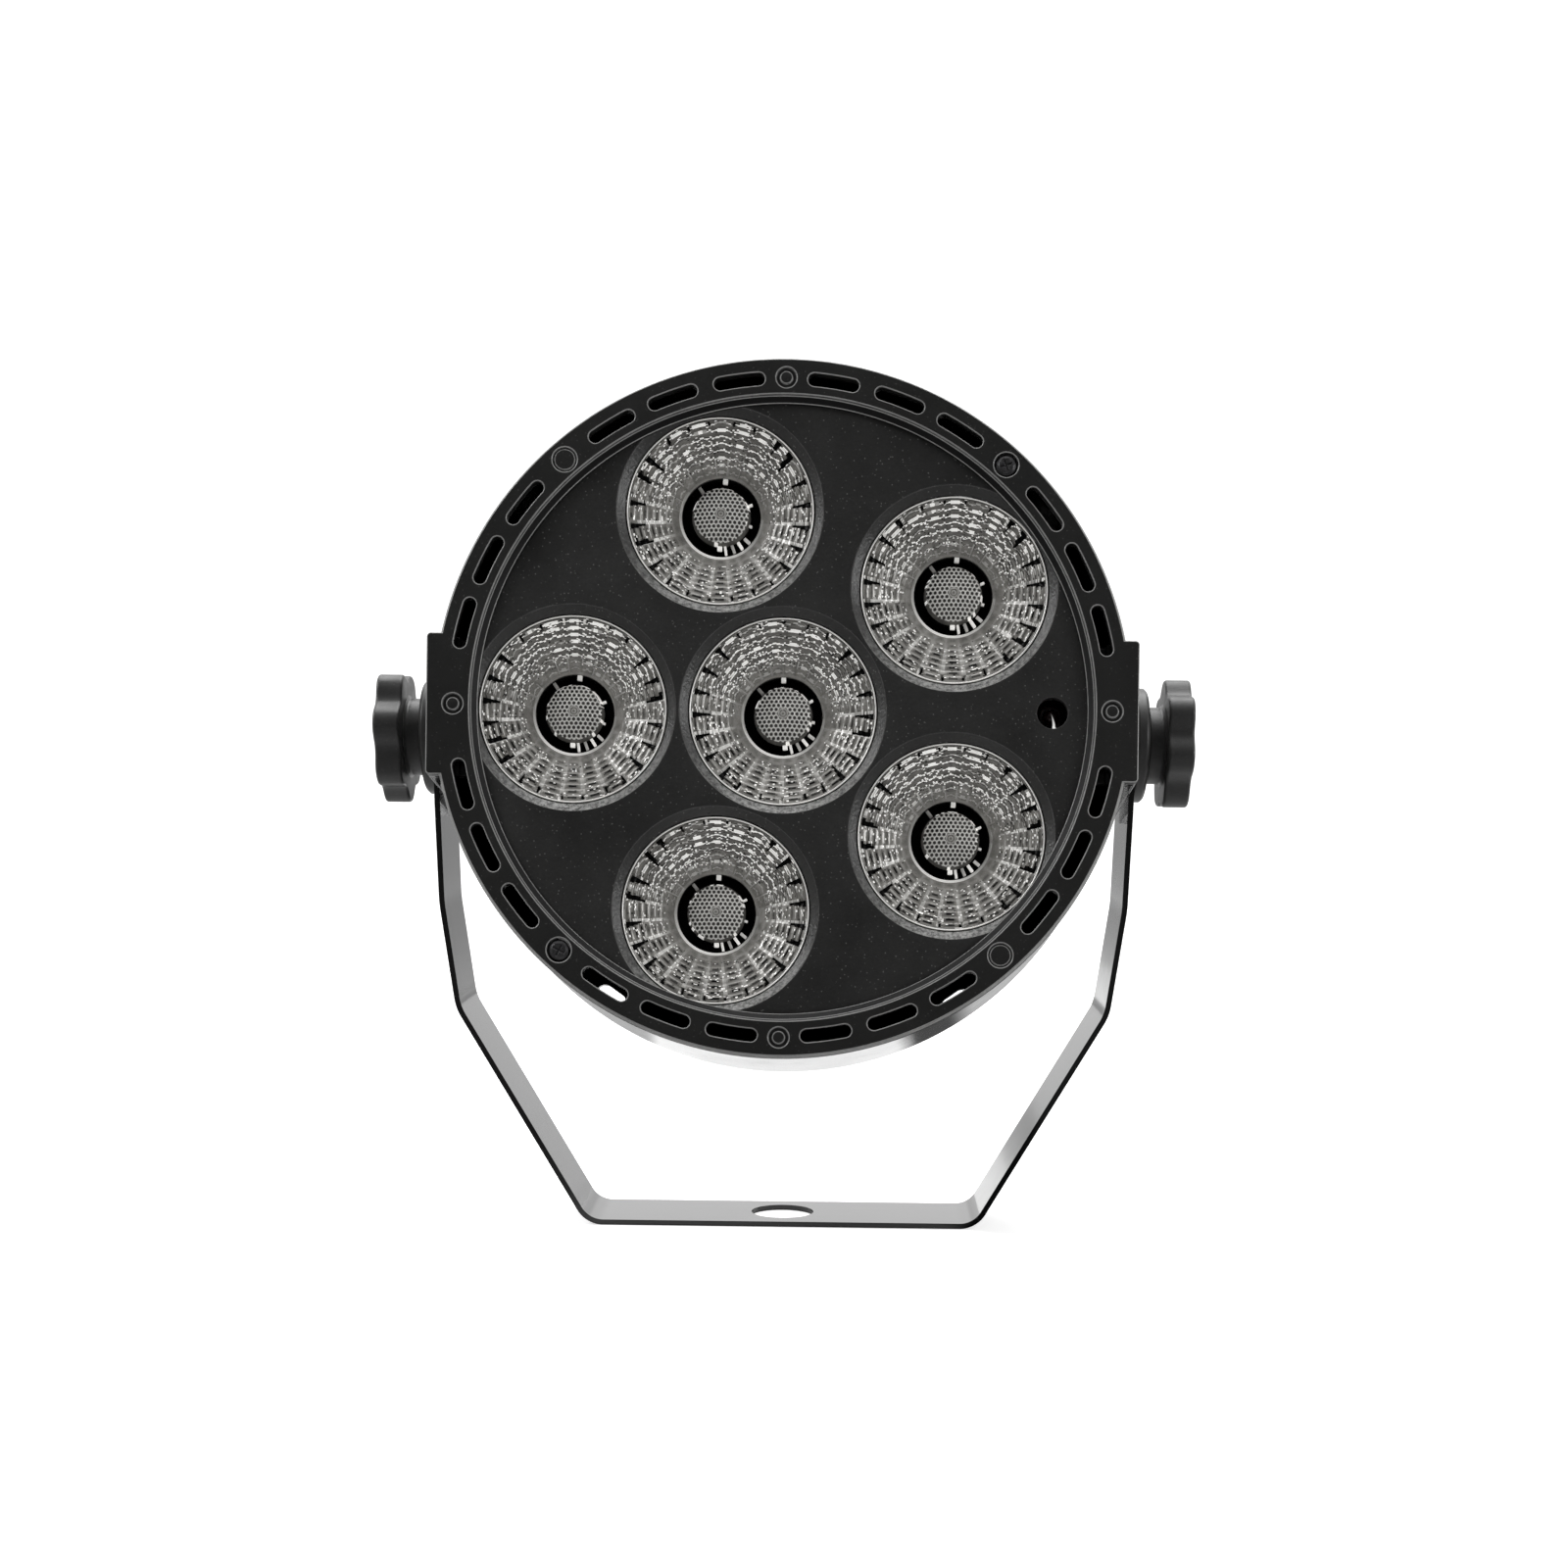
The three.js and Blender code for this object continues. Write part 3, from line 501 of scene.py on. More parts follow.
def acrylic():
    """Clear faceted acrylic over a dark cup, drawn with painted light: painted highlights on bright facets, painted
    dark where a facet would let the cup show, and painted glints that glow.
    """
    t = Tree("lens_acrylic")
    painted_light = t.attribute("painted_light")
    dark = t.ramp(painted_light, 0.0, 1.0)
    painted_highlight = t.ramp(painted_light, 0.0, -1.0)
    fine = t.noise(2600, 3, 0.6)
    cloud = t.noise(420, 3, 0.55)
    body = t.mix(t.ramp(cloud, 0.3, 0.7), (0.345, 0.334, 0.310), (0.212, 0.205, 0.190))
    body = t.mix(t.ramp(fine, 0.5, 0.75, 0, 0.5), body, (0.10, 0.098, 0.09))
    body = t.mix(painted_highlight, body, (1.0, 0.99, 0.96))
    body = t.mix(dark, body, (0.004, 0.004, 0.004))
    n = t.bump(fine, 0.3, 0.012 * MM)
    # painted glints: the brightest faces glow
    painted_glint_glow = t.math("MULTIPLY", t.math("POWER", painted_highlight, 3.0), 0.42)
    mirror = t.principled(base=body, rough=t.ramp(fine, 0.3, 0.7, 0.22, 0.4), metal=1.0, normal=n)
    clear = t.principled(base=body, rough=t.ramp(cloud, 0.3, 0.7, 0.16, 0.28), spec=t.ramp(dark, 0.0, 1.0, 0.5, 0.05), normal=n,
                        emit=(1.0, 0.985, 0.95), emit_power=painted_glint_glow)
    mx = t.add("ShaderNodeMixShader")
    t.put(mx.inputs[0], t.math("MULTIPLY", t.math("SUBTRACT", 1.0, dark), 0.15))
    t.nt.links.new(clear, mx.inputs[1])
    t.nt.links.new(mirror, mx.inputs[2])
    return t.out(mx.outputs[0])


LENS = acrylic()


def void():
    t = Tree("lens_recess_dark")
    return t.out(t.principled(base=t.mix(t.ramp(t.noise(900, 3), 0.4, 0.7), (0.003, 0.003, 0.003), (0.009, 0.009, 0.0085)), rough=t.ramp(t.noise(1500, 2), 0.3, 0.7, 0.12, 0.35), spec=0.45))


VOID = void()

# ------------------------------------------------------------------ front bezel
LUG_X, LUG_H, T = 96.6, 19.2, 3.2
SCREW_R = 89.4


def bezel_outline(r, n=360):
    """Circle with a squared ear on each side, counter-clockwise."""
    a0 = math.degrees(math.asin(LUG_H / r))
    out = []
    for side in (0, 180):
        s = 1 if side == 0 else -1
        out += rounded([(s * (r * math.cos(math.radians(a0)) - 0.01), -s * LUG_H), (s * LUG_X, -s * LUG_H, 1.1), (s * LUG_X, s * LUG_H, 1.1), (s * (r * math.cos(math.radians(a0)) - 0.01), s * LUG_H)], 5, closed=False)
        steps = int((180 - 2 * a0) / 1.2)
        out += [polar(r, side + a0 + (180 - 2 * a0) * k / steps) for k in range(1, steps)]
    return out


def stadium(l, w, radius, angle, n=10, curved=True):
    """Air slot lying along a circle of the given radius, at an angle from +x."""
    h = (l - w) / 2
    half = h / radius
    pts = []
    for k in range(n + 1):
        a = math.pi / 2 - math.pi * k / n
        pts.append((half, a))
    out = []
    th = math.radians(angle)

    def at(along, across):
        if curved:
            return ((radius + across) * math.cos(th + along / radius), (radius + across) * math.sin(th + along / radius))
        return (0, 0)
    m = 6
    for k in range(m + 1):
        out.append(at(-h + 2 * h * k / m, -w / 2))
    for k in range(1, n):
        a = -math.pi / 2 + math.pi * k / n
        out.append(at(h + w / 2 * math.cos(a), w / 2 * math.sin(a)))
    for k in range(m + 1):
        out.append(at(h - 2 * h * k / m, w / 2))
    for k in range(1, n):
        a = math.pi / 2 + math.pi * k / n
        out.append(at(-h + w / 2 * math.cos(a), w / 2 * math.sin(a)))
    return out


def build_bezel():
    s = Shape()
    loops = [bezel_outline(94.45), circle(84.9, 240)]
    for a in (8.25, 20.2, 32.0, 52.2, 64.1, 75.8):
        for q in (90 - a, 90 + a, -90 - a, -90 + a):
            loops.append(stadium(14, 3.5, 89.2, q))
    for a in (0, 90, 180, 270):
        loops.append(circle(2.75, 36, *polar(SCREW_R, a)))
    for a in (48, 132, 228, 312):
        loops.append(circle(3.3, 40, *polar(SCREW_R, a)))
    s.add(*plate(loops, Z(T), Z(0), 0.32, 3))
    # bevelled inner lip below the flat, and the soft outer rim
    s.add(*lathe(rounded([(85.6, 0.75), (85.2, 0.42), (84.55, 0.42, 0.8), (82.85, 1.45, 0.4), (82.72, 2.3, 0.1), (87.2, 2.3), (87.2, 1.2)], 3), 240))
    s.add(*lathe(rounded([(93.4, 0.8), (94.15, 0.42, 0.2), (94.85, 0.95, 0.6), (95.0, 1.9, 0.4), (95.0, T, 0.25), (93.3, T)], 4), 240))
    for a in (0, 90, 180, 270):
        x, y = polar(SCREW_R, a)
        s.add(*lathe(rounded([(0, 0.06), (1.72, 0.06, 0.25), (1.72, 0.62, 0.1), (3.2, 0.62), (3.2, 2.9), (0, 2.9)], 3), 36, x, y))
    for a in (132, 312):
        x, y = polar(SCREW_R, a)
        s.add(*lathe(rounded([(0, 0.14), (2.82, 0.14, 0.22), (2.82, 0.7, 0.1), (3.8, 0.7), (3.8, 2.9), (0, 2.9)], 3), 40, x, y))
    for a in (48, 228):
        x, y = polar(SCREW_R, a)
        s.add(*lathe([(1.75, 1.5), (3.8, 1.5), (3.8, 2.9), (1.75, 2.9)], 40, x, y))
    # forward edge roundings take the pale finish: painted edge highlight
    ob = weighted(painted_highlight_edges(mesh_object("bezel_ring", s, HEAD), 1, keep=lambda x, y, z: z > Z(2.1)))
    # the lip's slope takes the near-black holder finish: painted shade
    for poly in ob.data.polygons:
        p = poly.center - PIVOT
        r = math.hypot(p.dot(RIGHT), p.dot(UP)) / MM
        if poly.material_index == 0 and 82.6 < r < 84.7 and abs(poly.normal.dot(FRONT)) < 0.95:
            poly.material_index = 2
    finish_piece(ob, "head", ["front_bezel"], "bezel_plastic", BEZEL, BEZEL_EDGE_HIGHLIGHT, HOLDER)


def cross(w, l):
    h, a = l / 2, w / 2
    return [(-h, -a), (-a, -a), (-a, -h), (a, -h), (a, -a), (h, -a), (h, a), (a, a), (a, h), (-a, h), (-a, a), (-h, a)]


def screw(name, node, x, y, r, d_top, d_base, tail, shank, spin, mat, slot):
    """Pan-head screw with a cross recess."""
    s = Shape()
    rot = Matrix.Rotation(math.radians(spin), 3, "Z")
    loops = [circle(r * 0.72, 40)] + [[tuple((rot @ Vector((px, py, 0)))[:2]) for px, py in cross(r * 0.2, r * 1.18)]]
    sgn = 1 if d_base > d_top else -1      # +1: head faces the front
    top, base = Z(d_top), Z(d_base)
    s.add(*turn(plate(loops, *sorted((top, top - sgn * 0.5)), 0.08, 1), Matrix.Translation((x, y, 0))))
    prof = [(0, d_top + sgn * 0.48), (r * 0.70, d_top + sgn * 0.48), (r * 0.70, d_top + sgn * 0.03), (r * 0.86, d_top + sgn * 0.13, 0.3), (r, d_top + sgn * 0.5, 0.3), (r, d_base, 0.08), (shank, d_base), (shank, tail), (0, tail)]
    s.add(*lathe(rounded(prof, 4, closed=False), 40, x, y))
    ob = weighted(mesh_object(name, s, HEAD))
    finish_piece(ob, "head", [node], slot, mat)


build_bezel()
for label, a, spin in (("upper", 48, 20), ("lower", 228, 62)):
    x, y = polar(SCREW_R, a)
    screw(f"bezel_screw_{label}_cap", f"bezel_screw_{label}", x, y, 2.9, 0.35, 1.2, 16, 1.4, spin, BLACK_SCREW, "black_screw")

# ------------------------------------------------------------------ lens panel
LENSES = [centre_of(f"lens_{i}") for i in range(1, 7)]
IR = centre_of("ir_receiver")
IR_X = 73.4


def build_panel():
    s = Shape()
    loops = [circle(86.7, 200)] + [circle(28.2, 120, x, y) for x, y in LENSES] + [circle(4.25, 48, IR_X, 0)]
    s.add(*plate(loops, Z(3.9), Z(2.6), 0.14, 2))
    for x, y in LENSES:
        s.add(*lathe([(28.28, 2.74), (27.1, 3.72), (26.05, 4.5), (25.88, 4.75), (25.88, 5.0), (28.45, 5.0), (28.45, 3.2)], 120, x, y), 1)
    s.add(*lathe(rounded([(4.27, 2.8), (4.2, 5.0, 0.2), (5.0, 5.0), (5.0, 3.2)], 3), 48, IR_X, 0))
    ob = weighted(mesh_object("lens_panel_face", s, HEAD))
    finish_piece(ob, "head", ["lens_panel"], "panel_plastic", PANEL, WELL)


build_panel()

# ------------------------------------------------------------------ lenses
SECTORS, ROWS, FAN = 24, 8, 240
HEX = 1.27


def cell_noise(i, j, k):
    h = (i * 73856093) ^ (j * 19349663) ^ (k * 83492791)
    h = (h ^ (h >> 13)) * 1274126177 & 0xFFFFFFFF
    return ((h ^ (h >> 16)) & 0xFFFF) / 65535.0


def hex_distance(x, y, p=HEX):
    """0 at the middle of the hexagon a point lies in, 1 at its edge."""
    best = None
    for ox, oy in ((0, 0), (p / 2, p * math.sqrt(3) / 2)):
        gx = round((x - ox) / p) * p + ox
        gy = round((y - oy) / (p * math.sqrt(3))) * p * math.sqrt(3) + oy
        d = (x - gx) ** 2 + (y - gy) ** 2
        if best is None or d < best[0]:
            best = (d, x - gx, y - gy)
    dx, dy = abs(best[1]), abs(best[2])
    return min(1.0, max(dx, dx * 0.5 + dy * math.sqrt(3) / 2) / (p / 2))


R0, R1 = 25.0, 11.6        # faceted zone, outside and inside


def lens_cell(r, a, index, turn_by):
    """Where a point of the bowl lies in the grid of facets."""
    pos = (a + math.radians(turn_by)) / (2 * math.pi) * SECTORS
    sec = math.floor(pos)
    u = (pos - sec) * 2 - 1                          # -1..1 across the sector
    v = (R0 - r) / (R0 - R1) * ROWS                  # row, 0 at the outside
    row = max(0, min(ROWS - 1, int(v)))
    w = (v - row) * 2 - 1
    gap = (1 - abs(u)) * r * math.pi / SECTORS       # mm from the sector boundary
    fade = 1.0 if v < 5.2 else max(0.0, 1 - (v - 5.2) / 1.8)
    return pos, sec % SECTORS, u, v, row, w, gap, fade


def in_wedge(r, a, index, pos, u, gap):
    """Open stepped wedge between neighbouring sectors, at the outer edge."""
    b = round(pos) % SECTORS
    up, side = math.sin(a), abs(math.cos(a))
    n1, n2 = cell_noise(b, 3, index), cell_noise(b, 5, index)
    if side > 0.62:
        reach, wide = 4.0 + 1.4 * n1, 1.75 + 0.35 * n2
    elif up < 0:
        reach, wide = 1.8 + 3.0 * side * n1, 0.8 + 1.2 * side
    else:
        reach, wide = 1.1 + 1.8 * side, 0.6 + 0.9 * side * n1
    into = (r - (R0 - reach)) / reach                # 0 at the tip, 1 outside
    if into <= 0 or r > R0 - 0.3:
        return False
    half = wide * (0.22 + 0.78 * (math.floor(into * 4) + 0.5) / 4)
    long_side = u > 0 if (math.cos(a) > 0) == (n2 > 0.25) else u < 0
    return gap < (half if long_side else 0.16)


def painted_facet_light(r, a, index, turn_by, fi):
    """Painted light of one facet face: below zero a painted highlight, above zero painted dark as if the dark cup
    showed through.
    """
    pos, sec, u, v, row, w, gap, fade = lens_cell(r, a, index, turn_by)
    # inside a wedge the face is painted dark
    if in_wedge(r, a, index, pos, u, gap):
        return 1.0
    up, side = math.sin(a), abs(math.cos(a))
    rnd, rnd2 = cell_noise(sec, row, index), cell_noise(row, sec, index + 11)
    tiny = cell_noise(int(a * 57.3 / 1.5), int(r / 0.24), index + 29)
    painted_light = 0.22 * (rnd - 0.5) + 0.10 * (tiny - 0.5) * fade
    # the painted pattern differs for upper faces, lower faces and flanks
    high = max(0.0, min(1.0, (up - 0.05) / 0.35))
    low = max(0.0, min(1.0, (0.15 - up) / 0.4))
    flank = side ** 2
    if high:
        # painted highlights: thin wavy bright arcs along the rows, with square bright blocks in the outer ones
        wave = w + 0.25 * math.cos(u * math.pi * (1 + (sec % 2)))
        arc = abs(wave) < 0.20
        t = 0.22 * fade + 0.10
        if arc:
            t = -0.95 if rnd > 0.25 else -0.35
        elif abs(wave) < 0.42 and rnd2 > 0.3:
            t = 0.75
        if row <= 1 and abs(u) < 0.5 and abs(w) < 0.55 and rnd > 0.35:
            t = -1.0 if (rnd2 > 0.35 or abs(u) < 0.25) else -0.4
        if row >= 2 and abs(w) < 0.4 and rnd2 > 0.72 and abs(u) < 0.45:
            t = -1.0
        if gap < 0.20:
            t = -0.45 if rnd2 > 0.5 else 0.5
        painted_light += high * t * (0.35 + 0.65 * fade)
    if low:
        t = 0.0
        if gap < 0.36:
            t = -0.16 - 0.34 * rnd
        elif gap < 0.8:
            t = -0.06
        elif abs(u) < 0.46 and -0.3 < w < 0.42:
            t = 0.85 + 0.15 * rnd2
        elif abs(u) < 0.62 and -0.45 < w < 0.5:
            t = 0.36
        elif abs(w) > 0.8:
            t = -0.14
        painted_light += low * t * (0.25 + 0.75 * fade) * (0.45 + 0.55 * max(0.0, -up))
    if flank > 0.25:
        t = 0.0
        if abs(w) < 0.24:
            t = 0.42 * (rnd2 > 0.3)
        elif abs(w) > 0.66:
            t = -0.5 * (rnd > 0.35)
        if gap < 0.3:
            t = -0.6
        painted_light += flank * t * fade * (1.0 if abs(w) < 0.5 or cell_noise(sec, row * 3 + int(u * 1.5 + 2), index) > 0.4 else 0.2)
    # painted glints and small painted dark breaks
    if fade > 0.1 and tiny > 0.962 - 0.02 * side:
        painted_light = -1.0
    if fade > 0.1 and tiny < 0.035:
        painted_light = 0.8
    if r > 23.2 and gap < 0.9 and rnd2 > 0.35 and cell_noise(sec, 77, index) > 0.3:
        painted_light = min(painted_light, -0.8) if tiny > 0.45 else painted_light
    return max(-1.0, min(1.0, painted_light))


def build_lens(index, cx, cy):
    """Flange, faceted bowl, rim with a painted highlight, recess painted dark, honeycomb dome, turned back; every face
    carries its painted light.
    """
    s = Shape()
    turn_by = 7.5 * (0 if index == 0 else 1)
    bowl = lambda r: 5.1 + 5.0 * ((R0 - r) / (R0 - R1)) ** 0.95
    verts, faces, painted_lights = [], [], []
    prev = None
    angle = [2 * math.pi * k / FAN for k in range(FAN)]
    cs = [(math.cos(a), math.sin(a)) for a in angle]
    counter = [0]

    def ring(r, depth, painted_light):
        """depth(r, a) places the ring; the third argument gives the painted light of the band of faces leading to it.
        """
        nonlocal prev
        o = len(verts)
        for k in range(FAN):
            d = depth(r, angle[k]) if callable(depth) else depth
            verts.append((cx + r * cs[k][0], cy + r * cs[k][1], Z(d)))
        if prev is not None:
            po, pr = prev
            for k in range(FAN):
                j = (k + 1) % FAN
                faces.append((po + k, po + j, o + j, o + k))
                am = angle[k] + math.pi / FAN
                counter[0] += 1
                painted_lights.append(painted_light((r + pr) / 2, am) if callable(painted_light) else painted_light)
        prev = (o, r)

    # flange: a painted highlight on its rounding, then a painted dark line before the facets
    for r, d, tn in ((25.6, 6.3, 0.2), (25.6, 4.85, 0.2), (25.52, 4.6, -0.3), (25.36, 4.5, -0.9), (25.14, 4.62, -0.7), (25.05, 4.95, 0.9)):
        ring(r, d, tn)

    def facet(r, a):
        pos, sec, u, v, row, w, gap, fade = lens_cell(r, a, index, turn_by)
        pillow = 0.34 * (r / R0) * (1 - u * u) * (0.3 + 0.7 * fade)
        step = 0.16 * (1 - w * w) * fade
        d = bowl(r) - pillow - step
        if in_wedge(r, a, index, pos, u, gap):
            d += 1.0
        return d
    painted_light_of = lambda r, a: painted_facet_light(r, a, index, turn_by, counter[0])
    n_rows = 64
    ring(R0, facet, -0.2)
    for i in range(1, n_rows + 1):
        ring(R0 + (R1 - R0) * i / n_rows, facet, painted_light_of)
    inner = bowl(R1)
    # the rim: painted highlight, strongest along its lower side
    rim = lambda r, a: -0.25 - 0.65 * max(0.0, -math.sin(a + 0.35)) if math.sin(a + 0.35) < 0.3 else -0.05
    for r, d in ((11.45, inner - 0.1), (11.25, inner - 0.22), (11.02, inner - 0.18), (10.85, inner + 0.1)):
        ring(r, d, rim)
    # recess walls and floor painted dark, standing for the dark holder seen through the clear plastic
    ring(10.72, inner + 0.5, 0.75)
    ring(10.66, 15.8, 1.0)
    ring(8.3, 15.8, 1.0)

    # collar: painted glints, mostly in its upper half
    def collar_painted_light(r, a):
        k = cell_noise(int(a / (2 * math.pi) * 56), 4, index)
        return -1.0 if (k > 0.55 and math.sin(a) > 0.2) or k > 0.9 else 0.6
    ring(8.1, 10.5, 1.0)
    ring(7.8, 9.2, collar_painted_light)
    ring(7.5, 8.5, collar_painted_light)

    def dome(r, a):
        x, y = r * math.cos(a), r * math.sin(a)
        h = hex_distance(x, y)
        pil = 0.22 * (1 - h * h)
        if r > 6.9:
            pil *= max(0, (7.3 - r) / 0.4)
        return 6.7 + 1.45 * (r / 7.3) ** 2 - pil + 0.1

    # honeycomb: darker cell middles, a painted bright net along the cell walls, painted shade towards one side
    def dome_painted_light(r, a):
        x, y = r * math.cos(a), r * math.sin(a)
        h = hex_distance(x, y)
        if r < 1.5:
            return 0.3 * math.sin(r * 9)
        shade = 0.25 * max(0.0, math.sin(a - 0.9)) * (r / 7.3) ** 2
        return (0.85 if h < 0.48 else 0.6 if h < 0.68 else -0.2 if h < 0.8 else -0.6) + shade
    for i in range(48):
        ring(7.3 * (1 - i / 48.0), dome, dome_painted_light)
    verts.append((cx, cy, Z(6.6)))
    last = prev[0]
    faces.extend((last + i, last + (i + 1) % FAN, len(verts) - 1) for i in range(FAN))
    painted_lights.extend([0.3] * FAN)
    # the back: flange underside, total-reflection cone, cavity for the emitter
    back = [(25.6, 6.5), (24.4, 6.95), (22.6, 9.6), (20, 12.6), (14.5, 16.8), (8.4, 20.75), (4.25, 20.75), (4.05, 17.2), (3.0, 17.0)]
    o_prev = 0
    for r, d in back:
        o = len(verts)
        verts += [(cx + r * c, cy + r * sn, Z(d)) for c, sn in cs]
        faces += [(o_prev + (i + 1) % FAN, o_prev + i, o + i, o + (i + 1) % FAN) for i in range(FAN)]
        painted_lights += [0.4] * FAN
        o_prev = o
    verts.append((cx, cy, Z(17.0)))
    faces += [(o_prev + (i + 1) % FAN, o_prev + i, len(verts) - 1) for i in range(FAN)]
    painted_lights += [0.4] * FAN
    s.add(verts, faces)
    s.ft = list(painted_lights)
    # snap tabs that cross the painted-dark recess, their faces given painted glints
    for a, wide, r0, r1, dd, tn in ((-36, 0.8, 8.6, 10.6, 9.6, -0.7), (-50, 0.8, 8.3, 10.6, 9.3, -1.0), (-63, 0.8, 8.3, 10.6, 9.3, -0.5), (-76, 0.7, 8.2, 10.6, 9.2, -0.9), (-86, 1.3, 8.2, 9.4, 9.0, -1.0),
                                    (90, 1.3, 9.2, 10.6, 9.6, -0.8), (132, 0.9, 8.4, 10.6, 11.0, -0.3), (28, 0.6, 8.0, 9.2, 9.2, -0.9), (-12, 0.6, 8.0, 8.9, 9.0, -0.8)):
        b = cuboid(r0, r1, -wide / 2, wide / 2, Z(dd + 1.2), Z(dd), 0.12, 2)
        m = Matrix.Translation((cx, cy, 0)) @ Matrix.Rotation(math.radians(a + (index * 47) % 23 - (0 if index == 0 else 8)), 4, "Z")
        v, f = turn(b, m)
        s.add(v, f, 0)
        s.ft += [tn] * len(f)
    ob = mesh_object(f"lens_{index + 1}_faceted", s, HEAD, smooth=50)
    finish_piece(ob, "head", [f"lens_{index + 1}"], "lens_acrylic", LENS)


for i, (x, y) in enumerate(LENSES):
    build_lens(i, x, y)

# ------------------------------------------------------------------ infrared receiver
s = Shape()
ix = IR[0]
s.add(*cuboid(IR_X - 4.4, IR_X + 4.4, -6, 6, Z(14.4), Z(13.2), 0.15))
s.add(*cuboid(IR_X - 2.8, IR_X + 2.8, -3.4, 3.4, Z(13.3), Z(9.0), 0.3))
s.add(*lathe([(2.5 * math.cos(math.radians(w)), 8.9 - 2.5 * math.sin(math.radians(w))) for w in range(0, 90, 9)] + [(0, 6.4), (0, 9.2), (2.5, 9.2)], 40, IR_X, 0, closed=False))
s.add(*lathe([(2.0, 14.3), (2.0, 22.0), (0, 22.0), (0, 14.3)], 24, IR_X - 0.5, 0))
# the receiver window carries a glowing streak: painted reflection
IR_WINDOW = dark_window("receiver_window", HEAD @ Vector((IR_X - 0.1, 0.95, Z(8.0))))
finish_piece(weighted(mesh_object("ir_window", s, HEAD)), "head", ["ir_receiver"], "dark_window", IR_WINDOW)

# ------------------------------------------------------------------ rear housing
VENTS = [44.4, 54.7, 125.3, 135.6, 224.4, 234.7, 305.3, 315.6]
VENT_R, VENT_L, VENT_W, VENT_C = 88.85, 9.0, 5.7, 2.2


def build_housing():
    """Turned bowl with air vents cut through its rear shoulder, two pivot lugs and the screw posts behind the bezel."""
    outer = rounded([(94.6, 3.5), (94.6, 49.0, 14), (92.2, 55.6, 8), (84.0, 62.4, 9), (63.5, 72.4, 1.6), (57.2, 72.4, 0.5), (57.2, 70.3)], 8, closed=False)
    inner = rounded([(52, 68), (64.6, 68), (82.9, 60.1, 9), (88.6, 55.9, 6), (92.4, 48.7, 8), (92.4, 3.5)], 8, closed=False)

    def depth_at(line, r):
        for (r0, d0), (r1, d1) in zip(line, line[1:]):
            if min(r0, r1) <= r <= max(r0, r1) and abs(r0 - r1) > 1e-9:
                return d0 + (d1 - d0) * (r - r0) / (r1 - r0)
        return line[-1][1]
    band = [VENT_R + VENT_W / 2 - VENT_W * k / 6 for k in range(7)]
    out_a = [p for p in outer if p[0] > band[0] + 0.05]
    out_b = [p for p in outer if p[0] < band[-1] - 0.05]
    in_a = [p for p in inner if p[0] < band[-1] - 0.05]
    in_b = [p for p in inner if p[0] > band[0] + 0.05]
    # angles: an even sweep plus close steps through every vent's rounded ends
    half = VENT_L / 2
    local = [half - VENT_C * (1 - math.cos(math.pi / 2 * k / 5)) for k in range(6)] + [half - VENT_C - 0.9 * k for k in (1, 2)]
    local = sorted(set([-v for v in local] + local))
    stations = []                       # (angle, offset inside a vent or None, vent index)
    for vi, v in enumerate(VENTS):
        stations += [(v + math.degrees(o / VENT_R), o, vi) for o in local]
    spans = [(v - math.degrees(half / VENT_R), v + math.degrees(half / VENT_R)) for v in VENTS]
    for k in range(240):
        a = k * 1.5
        if all(not (lo_ - 0.3 < a < hi_ + 0.3) for lo_, hi_ in spans):
            stations.append((a, None, None))
    stations.sort()
    n = len(stations)

    def pull(o):
        e = abs(o) - (half - VENT_C)
        return 0.0 if e <= 0 else VENT_C - math.sqrt(max(0.0, VENT_C ** 2 - e ** 2))
    s = Shape()
    verts, rings = [], []

    def ring(fn):
        idx = []
        for a, o, vi in stations:
            r, d = fn(o)
            idx.append(len(verts))
            verts.append((*polar(r, a), Z(d)))
        rings.append(idx)
    for r, d in out_a:
        ring(lambda o, r=r, d=d: (r, d))
    first_out = len(rings)
    for line, first in ((outer, True), (inner, False)):
        seq = band if first else band[::-1]
        if not first:
            for r, d in out_b:
                ring(lambda o, r=r, d=d: (r, d))
            for r, d in [(52, 70.3)] + in_a:
                ring(lambda o, r=r, d=d: (r, d))
            first_in = len(rings)
        for r in seq:
            def fn(o, r=r, line=line):
                rr = r
                if o is not None:
                    f = 1 - 2 * pull(o) / VENT_W
                    rr = VENT_R + (r - VENT_R) * f
                return rr, depth_at(line, rr)
            ring(fn)
    for r, d in in_b:
        ring(lambda o, r=r, d=d: (r, d))
    faces = []
    windows = [i for i in range(n) if stations[i][2] is not None and stations[(i + 1) % n][2] == stations[i][2]]
    open_cols = set(windows)
    for k in range(len(rings)):
        a, b = rings[k], rings[(k + 1) % len(rings)]
        in_band = first_out <= k < first_out + 6 or first_in <= k < first_in + 6
        for i in range(n):
            if in_band and i in open_cols:
                continue
            j = (i + 1) % n
            faces.append((a[i], a[j], b[j], b[i]))
    ro, ri = first_out, first_in          # band rings run outward-in on the outside, inward-out on the inside
    for i in sorted(open_cols):
        j = (i + 1) % n
        faces.append((rings[ro][i], rings[ro][j], rings[ri + 6][j], rings[ri + 6][i]))
        faces.append((rings[ro + 6][j], rings[ro + 6][i], rings[ri][i], rings[ri][j]))
    for i in range(n):
        if stations[i][2] is None:
            continue
        starts = i in open_cols and (i - 1) % n not in open_cols
        ends = i not in open_cols and (i - 1) % n in open_cols
        if starts or ends:
            for k in range(6):
                q = (rings[ro + k][i], rings[ro + k + 1][i], rings[ri + 5 - k][i], rings[ri + 6 - k][i])
                faces.append(q if starts else q[::-1])
    s.add(verts, faces)
    for k in (-1, 1):
        m = Matrix.Rotation(k * math.pi / 2, 4, "Y")

